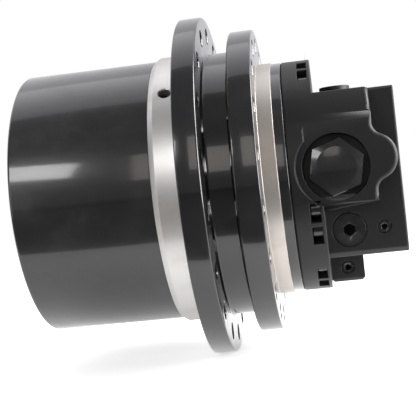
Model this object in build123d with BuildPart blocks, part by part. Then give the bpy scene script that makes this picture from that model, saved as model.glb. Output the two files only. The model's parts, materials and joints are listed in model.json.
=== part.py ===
from build123d import *
import os
from math import acos, cos, pi, radians, sin, tan

# Excavator final drive: a planetary gear case that turns around a fixed frame hub with a hydraulic motor.
# X runs along the drive axis from the drum to the motor, Z is up. The origin is the centre of the frame
# flange's mounting face.

# Fits between pieces, per side
seat_fit = 0.05
running_fit = 0.25
end_play = 0.1
edge_break = 1.0

# Angle of the first hole on a circle, straight up
top_angle = 90.0

# Stations along the drive axis
flange_distance = 65.0
frame_flange_thickness = 21.0
sprocket_flange_thickness = 20.0
case_gap = 2.0
sprocket_pilot_length = 22.0
pilot_chamfer_length = 5.0
drum_length = 123.5
frame_pilot_length = 13.5
motor_case_length = 9.0

# Planetary gears
gear_module = 4.0
pressure_angle = 25.0
addendum = 0.8
dedendum = 1.0
backlash = 0.5
ring_teeth = 50
input_sun_teeth = 10
input_planet_teeth = 20
input_planet_count = 3
output_sun_teeth = 14
output_planet_teeth = 18
output_planet_count = 4
output_face_share = 0.5625
pin_room = 3.5
ring_run_out = 6.0
input_pin_radius = 12.0
output_pin_radius = 13.0
needle_thickness = 5.0
washer_thickness = 1.8
washer_width = 8.0
pin_overhang = 1.0
input_carrier_thickness = 11.0
output_carrier_thickness = 15.0
carrier_gap = 2.0
carrier_rim = 9.0
sun_hub_radius = 20.0
sun_bore_radius = 14.0
sun_shank_radius = 11.0

# Gear case
drum_wall = 18.0
pilot_step = 3.0
sprocket_bolt_inset = 16.0
sprocket_rim = 16.5
sprocket_bolt_count = 18
sprocket_hole_radius = 7.5
neck_wall = 23.0
spigot_wall = 13.0
spigot_cover = 9.0
lock_screw_radius = 5.25
lock_screw_station = 10.5
lock_screw_angle = 42.0
lock_screw_length = 11.0
lock_screw_grip = 5.0
end_cover_thickness = 12.0
end_cover_recess = 1.5
end_cover_overlap = 10.0
end_cover_dish = 2.5
end_cover_boss_radius = 42.0
end_cover_rim = 18.0
end_cord_inset = 3.0
end_screw_count = 16
end_screw_radius = 3.0
end_screw_head_radius = 5.0
end_screw_head = 6.0
end_screw_length = 22.0
end_screw_inset = 6.5
oil_plug_count = 3
oil_plug_circle = 66.0
oil_plug_radius = 9.0
oil_plug_head_radius = 13.0
oil_plug_head = 4.0
button_radius = 12.0
button_seat = 5.0

# Main bearings and floating seal
spindle_wall = 17.0
bearing_section = 20.0
bearing_width = 20.0
bearing_roller_radius = 4.5
bearing_roller_length = 14.0
bearing_roller_count = 28
bearing_tilt = 12.0
bearing_lip = 4.0
bearing_nut_width = 9.0
bearing_nut_wall = 10.0
nut_slot_count = 8
hub_shoulder = 4.0
seal_bore_depth = 19.0
seal_hub_depth = 15.0
seal_ring_clearance = 4.0
seal_ring_wall = 7.0
seal_ring_length = 15.0
seal_face_height = 4.0
seal_face_length = 5.0
seal_cord_radius = 4.0

# Frame hub
frame_pilot_radius = 108.0
frame_bolt_inset = 19.0
frame_rim = 13.5
frame_bolt_count = 18
frame_hole_radius = 7.5
motor_case_step = 1.0
spindle_overhang = 1.5
brake_band = 18.5
shaft_seal_radius = 30.0
shaft_seal_width = 9.0
shaft_bearing_radius = 36.0
shaft_bearing_width = 17.0
seal_lip = 7.0
carrier_bore_radius = 33.0
carrier_screw_radius = 6.0
carrier_screw_head_radius = 9.0
carrier_screw_head = 12.0
carrier_screw_circle = 54.0
carrier_screw_length = 34.0

# Hydraulic motor
shaft_radius = 18.0
shaft_spline_radius = 16.0
shaft_tail_radius = 14.0
shaft_roller_radius = 2.8
shaft_roller_count = 14
spline_module = 1.75
spline_teeth = 12
spline_length = 23.0
spline_play = 0.3
coupling_reach = 10.0
swash_thickness = 16.0
swash_rim = 5.0
swash_bore_radius = 22.0
piston_count = 9
piston_circle = 32.0
piston_radius = 7.0
piston_bore_depth = 25.0
piston_hollow_radius = 4.0
piston_length = 38.0
shoe_radius = 8.0
shoe_thickness = 3.0
shoe_collar_radius = 6.0
shoe_collar_length = 6.0
retainer_thickness = 2.6
retainer_width = 11.0
retainer_ball_wall = 4.9
retainer_ball_length = 12.0
block_wall = 5.5
block_length = 47.0
block_floor = 5.0
block_port_radius = 3.5
valve_plate_thickness = 5.3
valve_plate_rim = 1.5
kidney_width = 7.0
kidney_sweep = 130.0
brake_plate_thickness = 3.0
brake_plate_overlap = 10.0
brake_steel_count = 3
brake_gap = 0.3
brake_piston_length = 8.4
brake_spring_room = 5.4
brake_spring_thickness = 2.2
tail_bearing_radius = 26.0
tail_bearing_width = 16.0
tail_roller_radius = 2.0
cover_cord_radius = 1.4
cover_cord_inset = 7.0

# Rear cover
cover_flange_thickness = 26.0
cover_screw_pairs = (61.5, 118.5, 203.5, 241.5, 298.5, -23.5)
cover_screw_half_step = 5.8
cover_screw_inset = 12.0
cover_screw_radius = 5.0
cover_screw_head_radius = 8.0
cover_screw_head = 10.0
cover_socket_flats = 8.0
cover_socket_depth = 5.0
cover_screw_length = 34.0
cover_screw_seat = 14.5
cover_pocket_play = 0.3
cover_window_length = 8.5
valve_block_end = 95.5
valve_block_inset = 37.0
valve_block_bottom = 32.5
valve_block_rise = 5.0
valve_face_step = 8.5
valve_face_wall_x = 37.5
valve_face_clearance = 6.0
valve_edge_radius = 4.0
lobe_x = 94.0
lobe_z = 9.5
lobe_radius = 20.5
lobe_blend = 10.0
port_block_end = 117.5
port_block_drop = 0.5
port_block_lift = 33.0
port_block_inset = 35.0
casting_bevel = 2.5
port_block_bevel = 4.0
foot_end = 79.0
foot_lift = 6.5
foot_half_width = 24.0
top_boss_x = 69.0
top_boss_radius = 14.0
top_boss_height = 9.5
main_port_radius = 12.0
main_port_depths = (20.0, 18.0)
main_port_spacing = 60.0
main_port_z = 12.0
drain_port_radius = 8.0
drain_port_depth = 16.0
drain_port_rise = 38.0
pilot_port_radius = 5.5
pilot_port_depth = 14.0
pilot_port_drop = 23.5

# Valves in the rear cover
spool_x = 62.5
spool_z = 4.5
spool_radius = 14.0
spool_groove_radius = 10.0
spool_spring_room = 22.5
spool_land = 20.0
spool_plug_radius = 21.0
spool_plug_depth = 18.0
spool_plug_recess = 8.0
spool_plug_head = 11.0
spool_plug_flats = 44.0
spool_plug_turn = -12.0
spool_plug_face_radius = 17.0
spool_plug_taper = 60.0
spool_face_radius = 28.5
spring_radius = 11.5
spring_wall = 3.0
speed_spool_x = 68.4
speed_spool_rise = 23.2
speed_spool_radius = 8.0
speed_spring_room = 22.0
speed_spring_radius = 7.0
speed_spring_wall = 2.0
speed_plug_radius = 14.8
speed_plug_depth = 11.0
speed_socket_flats = 10.0
speed_socket_depth = 7.0
gallery_plug_radius = 5.7
gallery_plug_depth = 9.0
gallery_socket_flats = 5.0
gallery_socket_depth = 4.0
gallery_x = 98.4
gallery_rise = 23.0
foot_plug_x = 64.0
foot_plug_rise = 13.0
drain_plug_spacing = 15.0
drain_plug_lift = 1.5

# Worked out along the axis
hub_back_x = -frame_flange_thickness
neck_x = hub_back_x - case_gap
sprocket_face_x = -flange_distance
sprocket_back_x = sprocket_face_x + sprocket_flange_thickness
pilot_end_x = sprocket_face_x - sprocket_pilot_length
drum_face_x = pilot_end_x - pilot_chamfer_length
drum_end_x = drum_face_x - drum_length
case_end_x = frame_pilot_length + motor_case_length
seal_floor_x = neck_x - seal_bore_depth
bearing_x = seal_floor_x - bearing_lip
bearing_mid_x = bearing_x - bearing_width
bearing_end_x = bearing_mid_x - bearing_width
spindle_x = bearing_end_x - bearing_nut_width - spindle_overhang
lock_screw_x = bearing_mid_x - lock_screw_station
output_carrier_x = spindle_x - output_carrier_thickness
end_cover_x = drum_end_x + end_cover_recess
cover_seat_x = end_cover_x + end_cover_thickness
planet_side = washer_thickness + 2 * end_play
carrier_room = pin_room + 2 * pin_overhang + 4 * planet_side + carrier_gap + input_carrier_thickness
gear_room = output_carrier_x - cover_seat_x - carrier_room
output_face_width = gear_room * output_face_share
input_face_width = gear_room - output_face_width
output_planet_x = output_carrier_x - planet_side - output_face_width
output_pin_x = output_planet_x - planet_side - pin_overhang
input_carrier_right_x = output_pin_x - carrier_gap
input_carrier_x = input_carrier_right_x - input_carrier_thickness
input_planet_x = input_carrier_x - planet_side - input_face_width
input_pin_x = input_planet_x - planet_side - pin_overhang
ring_end_x = output_planet_x + output_face_width + ring_run_out
shaft_seal_x = spindle_x + shaft_seal_width
shaft_bearing_x = shaft_seal_x + seal_lip
swash_x = shaft_bearing_x + shaft_bearing_width
shoe_x = swash_x + swash_thickness + end_play
collar_x = shoe_x + shoe_thickness
piston_x = collar_x + shoe_collar_length
valve_plate_x = case_end_x - valve_plate_thickness
block_end_x = valve_plate_x - end_play
block_x = block_end_x - block_length
cover_end_x = case_end_x + cover_flange_thickness
screw_seat_x = case_end_x + cover_screw_seat
tail_bearing_x = case_end_x + end_play

# Worked out across the axis
ring_tip_radius = gear_module * (ring_teeth / 2 - addendum)
ring_root_radius = gear_module * (ring_teeth / 2 + dedendum)
input_distance = gear_module * (input_sun_teeth + input_planet_teeth) / 2
output_distance = gear_module * (output_sun_teeth + output_planet_teeth) / 2
input_bore_radius = input_pin_radius + needle_thickness + seat_fit + running_fit
output_bore_radius = output_pin_radius + needle_thickness + seat_fit + running_fit
carrier_radius = ring_tip_radius - carrier_rim
carrier_screw_angle = 180 / output_planet_count
block_radius = piston_circle + piston_radius + block_wall
valve_plate_radius = block_radius - valve_plate_rim
motor_bore_radius = block_radius + brake_band
swash_radius = motor_bore_radius - swash_rim
cover_cord_circle = motor_bore_radius + cover_cord_inset
bearing_bore_radius = motor_bore_radius + spindle_wall
bearing_outer_radius = bearing_bore_radius + bearing_section
spigot_radius = bearing_outer_radius + spigot_wall
drum_radius = max(ring_root_radius + drum_wall, spigot_radius + spigot_cover)
sprocket_pilot_radius = drum_radius + pilot_step
sprocket_bolt_circle = sprocket_pilot_radius + sprocket_bolt_inset
sprocket_flange_radius = sprocket_bolt_circle + sprocket_rim
neck_radius = bearing_outer_radius + neck_wall
end_cover_radius = ring_root_radius + end_cover_overlap
end_screw_circle = end_cover_radius - end_screw_inset
frame_bolt_circle = frame_pilot_radius + frame_bolt_inset
frame_flange_radius = frame_bolt_circle + frame_rim
motor_case_radius = frame_pilot_radius - motor_case_step
cover_screw_circle = motor_case_radius - cover_screw_inset
valve_face = motor_case_radius - valve_face_step
valve_block_top = motor_case_radius - valve_block_inset
port_block_top = valve_block_top - port_block_drop
port_block_bottom = motor_case_radius - port_block_lift
port_block_half_width = motor_case_radius - port_block_inset
foot_bottom = motor_case_radius - foot_lift
spool_plug_seat = valve_face - spool_plug_recess
spool_half_length = spool_plug_seat - spool_plug_depth - spool_spring_room
speed_stop_y = port_block_half_width - speed_plug_depth
speed_spool_length = 2 * speed_stop_y - speed_spring_room
speed_spool_z = speed_spool_rise - port_block_bottom
gallery_z = gallery_rise - port_block_bottom
foot_plug_z = foot_plug_rise - foot_bottom
drain_port_z = drain_port_rise - port_block_bottom
pilot_port_z = port_block_top - pilot_port_drop
hub_shoulder_radius = bearing_bore_radius + hub_shoulder
roller_circle = (bearing_bore_radius + bearing_outer_radius) / 2
seal_ring_radius = hub_shoulder_radius + seal_ring_clearance
seal_ring_back = seal_ring_radius + seal_ring_wall
seal_bore_radius = seal_ring_back + 2 * seal_cord_radius + 2 * end_play
seal_face_radius = seal_ring_back + seal_face_height
brake_plate_radius = motor_bore_radius - running_fit
cover_groove_depth = 2 * cover_cord_radius
lock_direction = Vector(0, -cos(radians(lock_screw_angle)), sin(radians(lock_screw_angle)))
spline_pitch_radius = spline_module * spline_teeth / 2
cover_screw_angles = [
    pair + side * cover_screw_half_step for pair in cover_screw_pairs for side in (-1, 1)
]


def turned(*outline):
    """A closed (x, radius) outline as a face beside the drive axis, ready to revolve about it."""
    with BuildSketch(Plane.XZ) as section:
        with BuildLine():
            Polyline(*outline, close=True)
        make_face()
    return section.sketch.face()


def tooth_half_angle(teeth, module, radius):
    """Half the angle that an involute tooth takes up at a radius."""
    roll = radians(pressure_angle)
    base_radius = module * teeth / 2 * cos(roll)
    roll_here = acos(min(1.0, base_radius / radius))
    return pi / (2 * teeth) + tan(roll) - roll - tan(roll_here) + roll_here


def toothed(teeth, module, inner_radius, outer_radius, play, turn):
    """Corner points of a toothed outline, with each flank bent once at the pitch circle."""
    pitch_radius = module * teeth / 2
    flank = (inner_radius, pitch_radius, outer_radius)
    corners = []
    for tooth in range(teeth):
        middle = turn + 2 * pi * tooth / teeth
        for side, radii in ((-1, flank), (1, flank[::-1])):
            for radius in radii:
                half = tooth_half_angle(teeth, module, radius) - play / (4 * pitch_radius)
                corners.append((radius * cos(middle + side * half), radius * sin(middle + side * half)))
    return corners


def gear(teeth, turn):
    """Corner points of an external gear of the drive's module."""
    root_radius = gear_module * (teeth / 2 - dedendum)
    tip_radius = gear_module * (teeth / 2 + addendum)
    return toothed(teeth, gear_module, root_radius, tip_radius, backlash, turn)


def planet_turn(sun_teeth, planet_teeth, angle):
    """Turn of a planet at an angle round a sun that has a tooth on the Y axis, so that the two mesh."""
    return angle * (1 + sun_teeth / planet_teeth) + pi + pi / planet_teeth


def axle_plane(x, radius, angle):
    """Plane across the drive axis with its origin on a circle round it."""
    return Plane(origin=(x, radius * cos(angle), radius * sin(angle)), x_dir=(0, 1, 0), z_dir=(1, 0, 0))


def side_plane(x, y, z, side):
    """Plane that faces outwards on the near side (-1) or the far side (1) of the rear cover."""
    return Plane(origin=(x, side * y, z), x_dir=(1, 0, 0), z_dir=(0, side, 0))


def save(piece, name):
    """Label a finished piece and write it under its own name."""
    piece.part.label = name
    export_step(piece.part, f"parts/{name}.step")


os.makedirs("parts", exist_ok=True)

# Gear case: sprocket hub with flange, bright pilot and neck
with BuildPart() as sprocket_hub:
    revolve(
        turned(
            (drum_face_x, drum_radius),
            (pilot_end_x, sprocket_pilot_radius),
            (sprocket_face_x, sprocket_pilot_radius),
            (sprocket_face_x, sprocket_flange_radius - edge_break),
            (sprocket_face_x + edge_break, sprocket_flange_radius),
            (sprocket_back_x - edge_break, sprocket_flange_radius),
            (sprocket_back_x, sprocket_flange_radius - edge_break),
            (sprocket_back_x, neck_radius),
            (neck_x, neck_radius),
            (neck_x, seal_bore_radius),
            (seal_floor_x, seal_bore_radius),
            (seal_floor_x, bearing_outer_radius - bearing_lip),
            (bearing_x, bearing_outer_radius - bearing_lip),
            (bearing_x, bearing_outer_radius + seat_fit),
            (bearing_mid_x, bearing_outer_radius + seat_fit),
            (bearing_mid_x, spigot_radius + seat_fit),
            (drum_face_x, spigot_radius + seat_fit),
        ),
        axis=Axis.X,
    )
    with BuildSketch(Plane.YZ.offset(sprocket_face_x)):
        with PolarLocations(sprocket_bolt_circle, sprocket_bolt_count, start_angle=top_angle):
            Circle(sprocket_hole_radius)
    extrude(amount=sprocket_flange_thickness, mode=Mode.SUBTRACT)
    with BuildSketch(Plane((lock_screw_x, 0, 0), z_dir=lock_direction).offset(bearing_outer_radius)):
        Circle(lock_screw_radius + seat_fit)
    extrude(amount=sprocket_pilot_radius, mode=Mode.SUBTRACT)
save(sprocket_hub, "sprocket_hub")

# Ring gear drum; its spigot centres in the hub and carries the outboard bearing
lock_seat = Plane((lock_screw_x, 0, 0), z_dir=lock_direction).offset(spigot_radius - lock_screw_grip)
with BuildPart() as ring_gear_drum:
    revolve(
        turned(
            (drum_end_x, drum_radius - edge_break),
            (drum_end_x + edge_break, drum_radius),
            (drum_face_x, drum_radius),
            (drum_face_x, spigot_radius),
            (bearing_mid_x - end_play, spigot_radius),
            (bearing_mid_x - end_play, bearing_outer_radius + seat_fit),
            (bearing_end_x, bearing_outer_radius + seat_fit),
            (bearing_end_x, ring_tip_radius),
            (cover_seat_x, ring_tip_radius),
            (cover_seat_x, end_cover_radius + seat_fit),
            (drum_end_x, end_cover_radius + seat_fit),
        ),
        axis=Axis.X,
    )
    with BuildSketch(Plane.YZ.offset(cover_seat_x)):
        with BuildLine():
            spaces_turn = (input_planet_teeth + 1) * pi / ring_teeth
            Polyline(
                *toothed(ring_teeth, gear_module, ring_tip_radius, ring_root_radius, -backlash, spaces_turn),
                close=True,
            )
        make_face()
    extrude(amount=ring_end_x - cover_seat_x, mode=Mode.SUBTRACT)
    with BuildSketch(Plane.YZ.offset(cover_seat_x)):
        with PolarLocations(end_screw_circle, end_screw_count):
            Circle(end_screw_radius + seat_fit)
    extrude(amount=end_screw_length, mode=Mode.SUBTRACT)
    with BuildSketch(lock_seat):
        Circle(lock_screw_radius + seat_fit)
    extrude(amount=2 * lock_screw_grip, mode=Mode.SUBTRACT)
save(ring_gear_drum, "ring_gear_drum")

with BuildPart() as drum_lock_screw:
    with BuildSketch(lock_seat):
        Circle(lock_screw_radius)
    extrude(amount=lock_screw_length)
    with BuildSketch(lock_seat.offset(lock_screw_length)):
        RegularPolygon(gallery_socket_flats / 2, 6, major_radius=False)
    extrude(amount=-gallery_socket_depth, mode=Mode.SUBTRACT)
save(drum_lock_screw, "drum_lock_screw")

# End cover with a dished face, three oil plugs and a thrust button for the input sun
end_dish_radius = end_cover_radius - end_cover_rim
with BuildPart() as end_cover:
    revolve(
        turned(
            (end_cover_x, 0),
            (end_cover_x, end_cover_boss_radius),
            (end_cover_x + end_cover_dish, end_cover_boss_radius + end_cover_dish),
            (end_cover_x + end_cover_dish, end_dish_radius - end_cover_dish),
            (end_cover_x, end_dish_radius),
            (end_cover_x, end_cover_radius - edge_break),
            (end_cover_x + edge_break, end_cover_radius),
            (cover_seat_x, end_cover_radius),
            (cover_seat_x, button_radius + seat_fit),
            (cover_seat_x - button_seat, button_radius + seat_fit),
            (cover_seat_x - button_seat, 0),
        ),
        axis=Axis.X,
    )
    with BuildSketch(Plane.YZ.offset(end_cover_x)):
        with PolarLocations(end_screw_circle, end_screw_count):
            Circle(end_screw_radius + seat_fit)
        with PolarLocations(oil_plug_circle, oil_plug_count, start_angle=top_angle):
            Circle(oil_plug_radius + seat_fit)
    extrude(amount=end_cover_thickness, mode=Mode.SUBTRACT)
    with BuildSketch(Plane.YZ.offset(end_cover_x)):
        with PolarLocations(end_screw_circle, end_screw_count):
            Circle(end_screw_head_radius + seat_fit)
    extrude(amount=end_screw_head, mode=Mode.SUBTRACT)
    with BuildSketch(Plane.XZ):
        with Locations((cover_seat_x - end_cord_inset, end_cover_radius)):
            Circle(cover_cord_radius)
    revolve(axis=Axis.X, mode=Mode.SUBTRACT)
save(end_cover, "end_cover")

with BuildPart() as end_cover_o_ring:
    with BuildSketch(Plane.XZ):
        with Locations((cover_seat_x - end_cord_inset, end_cover_radius)):
            Circle(cover_cord_radius)
    revolve(axis=Axis.X)
    with BuildSketch(Plane.YZ.offset(drum_end_x)):
        Circle(end_cover_radius)
    extrude(amount=drum_length, mode=Mode.INTERSECT)
save(end_cover_o_ring, "end_cover_o_ring")

with BuildPart() as end_cover_screws:
    with BuildSketch(Plane.YZ.offset(end_cover_x)):
        with PolarLocations(end_screw_circle, end_screw_count):
            Circle(end_screw_head_radius)
    extrude(amount=end_screw_head)
    with BuildSketch(Plane.YZ.offset(end_cover_x + end_screw_head)):
        with PolarLocations(end_screw_circle, end_screw_count):
            Circle(end_screw_radius)
    extrude(amount=end_screw_length)
    with BuildSketch(Plane.YZ.offset(end_cover_x)):
        with PolarLocations(end_screw_circle, end_screw_count):
            RegularPolygon(gallery_socket_flats / 2, 6, major_radius=False)
    extrude(amount=gallery_socket_depth, mode=Mode.SUBTRACT)
save(end_cover_screws, "end_cover_screws")

with BuildPart() as oil_plugs:
    oil_plug_x = end_cover_x + end_cover_dish
    with BuildSketch(Plane.YZ.offset(oil_plug_x - oil_plug_head)):
        with PolarLocations(oil_plug_circle, oil_plug_count, start_angle=top_angle):
            Circle(oil_plug_head_radius)
    extrude(amount=oil_plug_head)
    with BuildSketch(Plane.YZ.offset(oil_plug_x)):
        with PolarLocations(oil_plug_circle, oil_plug_count, start_angle=top_angle):
            Circle(oil_plug_radius)
    extrude(amount=cover_seat_x - oil_plug_x)
    with BuildSketch(Plane.YZ.offset(oil_plug_x - oil_plug_head)):
        with PolarLocations(oil_plug_circle, oil_plug_count, start_angle=top_angle):
            RegularPolygon(speed_socket_flats / 2, 6, major_radius=False)
    extrude(amount=speed_socket_depth, mode=Mode.SUBTRACT)
save(oil_plugs, "oil_plugs")

with BuildPart() as thrust_button:
    with BuildSketch(Plane.YZ.offset(cover_seat_x - button_seat)):
        Circle(button_radius)
    extrude(amount=input_planet_x - running_fit - cover_seat_x + button_seat)
save(thrust_button, "thrust_button")

# Main bearings: two rows of tilted rollers, back to back
race_offset = (bearing_roller_radius + running_fit) / cos(radians(bearing_tilt))
race_rise = bearing_width / 2 * tan(radians(bearing_tilt))
bearing_rows = ((bearing_mid_x, 1), (bearing_end_x, -1))
with BuildPart() as bearing_outer_rings:
    for row_x, lean in bearing_rows:
        revolve(
            turned(
                (row_x + end_play, bearing_outer_radius),
                (row_x + bearing_width - end_play, bearing_outer_radius),
                (row_x + bearing_width - end_play, roller_circle + race_offset + lean * race_rise),
                (row_x + end_play, roller_circle + race_offset - lean * race_rise),
            ),
            axis=Axis.X,
        )
save(bearing_outer_rings, "bearing_outer_rings")

with BuildPart() as bearing_inner_rings:
    for row_x, lean in bearing_rows:
        revolve(
            turned(
                (row_x + end_play, bearing_bore_radius + seat_fit),
                (row_x + bearing_width - end_play, bearing_bore_radius + seat_fit),
                (row_x + bearing_width - end_play, roller_circle - race_offset + lean * race_rise),
                (row_x + end_play, roller_circle - race_offset - lean * race_rise),
            ),
            axis=Axis.X,
        )
save(bearing_inner_rings, "bearing_inner_rings")

with BuildPart() as bearing_rollers:
    for row_x, lean in bearing_rows:
        for roller in range(bearing_roller_count):
            angle = 2 * pi * roller / bearing_roller_count
            tilt = lean * radians(bearing_tilt)
            along = Vector(cos(tilt), sin(tilt) * cos(angle), sin(tilt) * sin(angle))
            centre = axle_plane(row_x + bearing_width / 2, roller_circle, angle).origin
            with BuildSketch(Plane(centre, z_dir=along)):
                Circle(bearing_roller_radius)
            extrude(amount=bearing_roller_length / 2, both=True)
save(bearing_rollers, "bearing_rollers")

with BuildPart() as bearing_nut:
    nut_radius = bearing_bore_radius + bearing_nut_wall
    revolve(
        turned(
            (bearing_end_x - bearing_nut_width, bearing_bore_radius + seat_fit),
            (bearing_end_x, bearing_bore_radius + seat_fit),
            (bearing_end_x, nut_radius - bearing_lip),
            (bearing_end_x - bearing_lip, nut_radius),
            (bearing_end_x - bearing_nut_width, nut_radius),
        ),
        axis=Axis.X,
    )
    with BuildSketch(Plane.YZ.offset(bearing_end_x - bearing_nut_width)):
        with PolarLocations(nut_radius, nut_slot_count):
            Circle(bearing_lip)
    extrude(amount=bearing_nut_width, mode=Mode.SUBTRACT)
save(bearing_nut, "bearing_nut")

# Floating seal: two lapped rings that meet in the middle of the case gap, each on a round rubber ring
seal_mid_x = hub_back_x - case_gap / 2
for side, ring_name, cord_name in (
    (-1, "case_seal_ring", "case_seal_o_ring"),
    (1, "hub_seal_ring", "hub_seal_o_ring"),
):
    with BuildPart() as seal_ring:
        face_x = seal_mid_x + side * end_play / 2
        revolve(
            turned(
                (face_x, seal_ring_radius),
                (face_x, seal_face_radius),
                (face_x + side * seal_face_length, seal_face_radius),
                (face_x + side * (seal_face_length + seal_face_height), seal_ring_back),
                (face_x + side * seal_ring_length, seal_ring_back),
                (face_x + side * seal_ring_length, seal_ring_radius),
            ),
            axis=Axis.X,
        )
    save(seal_ring, ring_name)
    with BuildPart() as seal_cord:
        with BuildSketch(Plane.XZ):
            cord_x = face_x + side * (seal_ring_length - seal_cord_radius)
            with Locations((cord_x, (seal_ring_back + seal_bore_radius) / 2)):
                Circle(seal_cord_radius)
        revolve(axis=Axis.X)
    save(seal_cord, cord_name)

# Frame hub: frame flange, bright pilot, motor case and the spindle that carries the bearings
seal_hub_x = hub_back_x + seal_hub_depth
with BuildPart() as frame_hub:
    revolve(
        turned(
            (spindle_x, bearing_bore_radius),
            (bearing_x, bearing_bore_radius),
            (bearing_x, hub_shoulder_radius),
            (seal_hub_x, hub_shoulder_radius),
            (seal_hub_x, seal_bore_radius),
            (hub_back_x, seal_bore_radius),
            (hub_back_x, frame_flange_radius - edge_break),
            (hub_back_x + edge_break, frame_flange_radius),
            (-edge_break, frame_flange_radius),
            (0, frame_flange_radius - edge_break),
            (0, frame_pilot_radius),
            (frame_pilot_length, frame_pilot_radius),
            (frame_pilot_length, motor_case_radius),
            (case_end_x - edge_break, motor_case_radius),
            (case_end_x, motor_case_radius - edge_break),
            (case_end_x, motor_bore_radius),
            (swash_x, motor_bore_radius),
            (swash_x, shaft_bearing_radius),
            (shaft_bearing_x, shaft_bearing_radius),
            (shaft_bearing_x, shaft_seal_radius - bearing_lip),
            (shaft_seal_x, shaft_seal_radius - bearing_lip),
            (shaft_seal_x, shaft_seal_radius),
            (spindle_x, shaft_seal_radius),
        ),
        axis=Axis.X,
    )
    with BuildSketch(Plane.YZ.offset(hub_back_x)):
        with PolarLocations(frame_bolt_circle, frame_bolt_count, start_angle=top_angle):
            Circle(frame_hole_radius)
    extrude(amount=frame_flange_thickness, mode=Mode.SUBTRACT)
    with BuildSketch(Plane.YZ.offset(case_end_x)):
        for angle in cover_screw_angles:
            with PolarLocations(cover_screw_circle, 1, start_angle=angle):
                Circle(cover_screw_radius + seat_fit)
    extrude(amount=cover_screw_seat - cover_screw_length - edge_break, mode=Mode.SUBTRACT)
    with BuildSketch(Plane.YZ.offset(spindle_x)):
        with PolarLocations(carrier_screw_circle, output_planet_count, start_angle=carrier_screw_angle):
            Circle(carrier_screw_radius + seat_fit)
    extrude(amount=carrier_screw_length, mode=Mode.SUBTRACT)
    with BuildSketch(Plane.XZ):
        with Locations((case_end_x, cover_cord_circle)):
            Rectangle(2 * cover_groove_depth, cover_groove_depth + 2 * seat_fit)
    revolve(axis=Axis.X, mode=Mode.SUBTRACT)
save(frame_hub, "frame_hub")

with BuildPart() as cover_o_ring:
    with BuildSketch(Plane.XZ):
        with Locations((case_end_x - cover_cord_radius, cover_cord_circle)):
            Circle(cover_cord_radius)
    revolve(axis=Axis.X)
save(cover_o_ring, "cover_o_ring")

# Output stage: a carrier fixed to the spindle, with four planets on cantilevered pins
with BuildPart() as output_carrier:
    with BuildSketch(Plane.YZ.offset(output_carrier_x)):
        Circle(carrier_radius)
        Circle(carrier_bore_radius, mode=Mode.SUBTRACT)
        with PolarLocations(output_distance, output_planet_count):
            Circle(output_pin_radius + seat_fit, mode=Mode.SUBTRACT)
        with PolarLocations(carrier_screw_circle, output_planet_count, start_angle=carrier_screw_angle):
            Circle(carrier_screw_radius + seat_fit, mode=Mode.SUBTRACT)
    extrude(amount=output_carrier_thickness)
    with BuildSketch(Plane.YZ.offset(output_carrier_x)):
        with PolarLocations(carrier_screw_circle, output_planet_count, start_angle=carrier_screw_angle):
            Circle(carrier_screw_head_radius + seat_fit)
    extrude(amount=carrier_screw_head, mode=Mode.SUBTRACT)
save(output_carrier, "output_carrier")

with BuildPart() as carrier_screws:
    with BuildSketch(Plane.YZ.offset(output_carrier_x)):
        with PolarLocations(carrier_screw_circle, output_planet_count, start_angle=carrier_screw_angle):
            Circle(carrier_screw_head_radius)
    extrude(amount=carrier_screw_head)
    with BuildSketch(Plane.YZ.offset(output_carrier_x + carrier_screw_head)):
        with PolarLocations(carrier_screw_circle, output_planet_count, start_angle=carrier_screw_angle):
            Circle(carrier_screw_radius)
    extrude(amount=carrier_screw_length)
    with BuildSketch(Plane.YZ.offset(output_carrier_x)):
        with PolarLocations(carrier_screw_circle, output_planet_count, start_angle=carrier_screw_angle):
            RegularPolygon(speed_socket_flats / 2, 6, major_radius=False)
    extrude(amount=speed_socket_depth, mode=Mode.SUBTRACT)
save(carrier_screws, "carrier_screws")

# Pins, needle sleeves and thrust washers of both stages
stages = (
    ("input", input_distance, input_planet_count, input_pin_radius, input_planet_x, input_face_width),
    ("output", output_distance, output_planet_count, output_pin_radius, output_planet_x, output_face_width),
)
pin_runs = {
    "input": (input_pin_x, input_carrier_right_x),
    "output": (output_pin_x, spindle_x - end_play),
}
for stage, distance, count, pin_radius, planet_x, face_width in stages:
    pin_start, pin_end = pin_runs[stage]
    with BuildPart() as pins:
        with BuildSketch(Plane.YZ.offset(pin_start)):
            with PolarLocations(distance, count):
                Circle(pin_radius)
        extrude(amount=pin_end - pin_start)
    save(pins, f"{stage}_pins")
    with BuildPart() as needles:
        with BuildSketch(Plane.YZ.offset(planet_x)):
            with PolarLocations(distance, count):
                Circle(pin_radius + needle_thickness + seat_fit)
                Circle(pin_radius + seat_fit, mode=Mode.SUBTRACT)
        extrude(amount=face_width)
    save(needles, f"{stage}_needles")
    with BuildPart() as washers:
        for washer_x in (planet_x - end_play - washer_thickness, planet_x + face_width + end_play):
            with BuildSketch(Plane.YZ.offset(washer_x)):
                with PolarLocations(distance, count):
                    Circle(pin_radius + washer_width)
                    Circle(pin_radius + seat_fit, mode=Mode.SUBTRACT)
            extrude(amount=washer_thickness)
    save(washers, f"{stage}_washers")

# Planets and suns
for stage, distance, count, sun_teeth, planet_teeth, bore_radius, planet_x, face_width in (
    ("input", input_distance, input_planet_count, input_sun_teeth, input_planet_teeth,
     input_bore_radius, input_planet_x, input_face_width),
    ("output", output_distance, output_planet_count, output_sun_teeth, output_planet_teeth,
     output_bore_radius, output_planet_x, output_face_width),
):
    for index in range(count):
        angle = 2 * pi * index / count
        with BuildPart() as planet:
            with BuildSketch(axle_plane(planet_x, distance, angle)):
                with BuildLine():
                    Polyline(*gear(planet_teeth, planet_turn(sun_teeth, planet_teeth, angle)), close=True)
                make_face()
                Circle(bore_radius, mode=Mode.SUBTRACT)
            extrude(amount=face_width)
        save(planet, f"{stage}_planet_{index + 1}")

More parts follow.
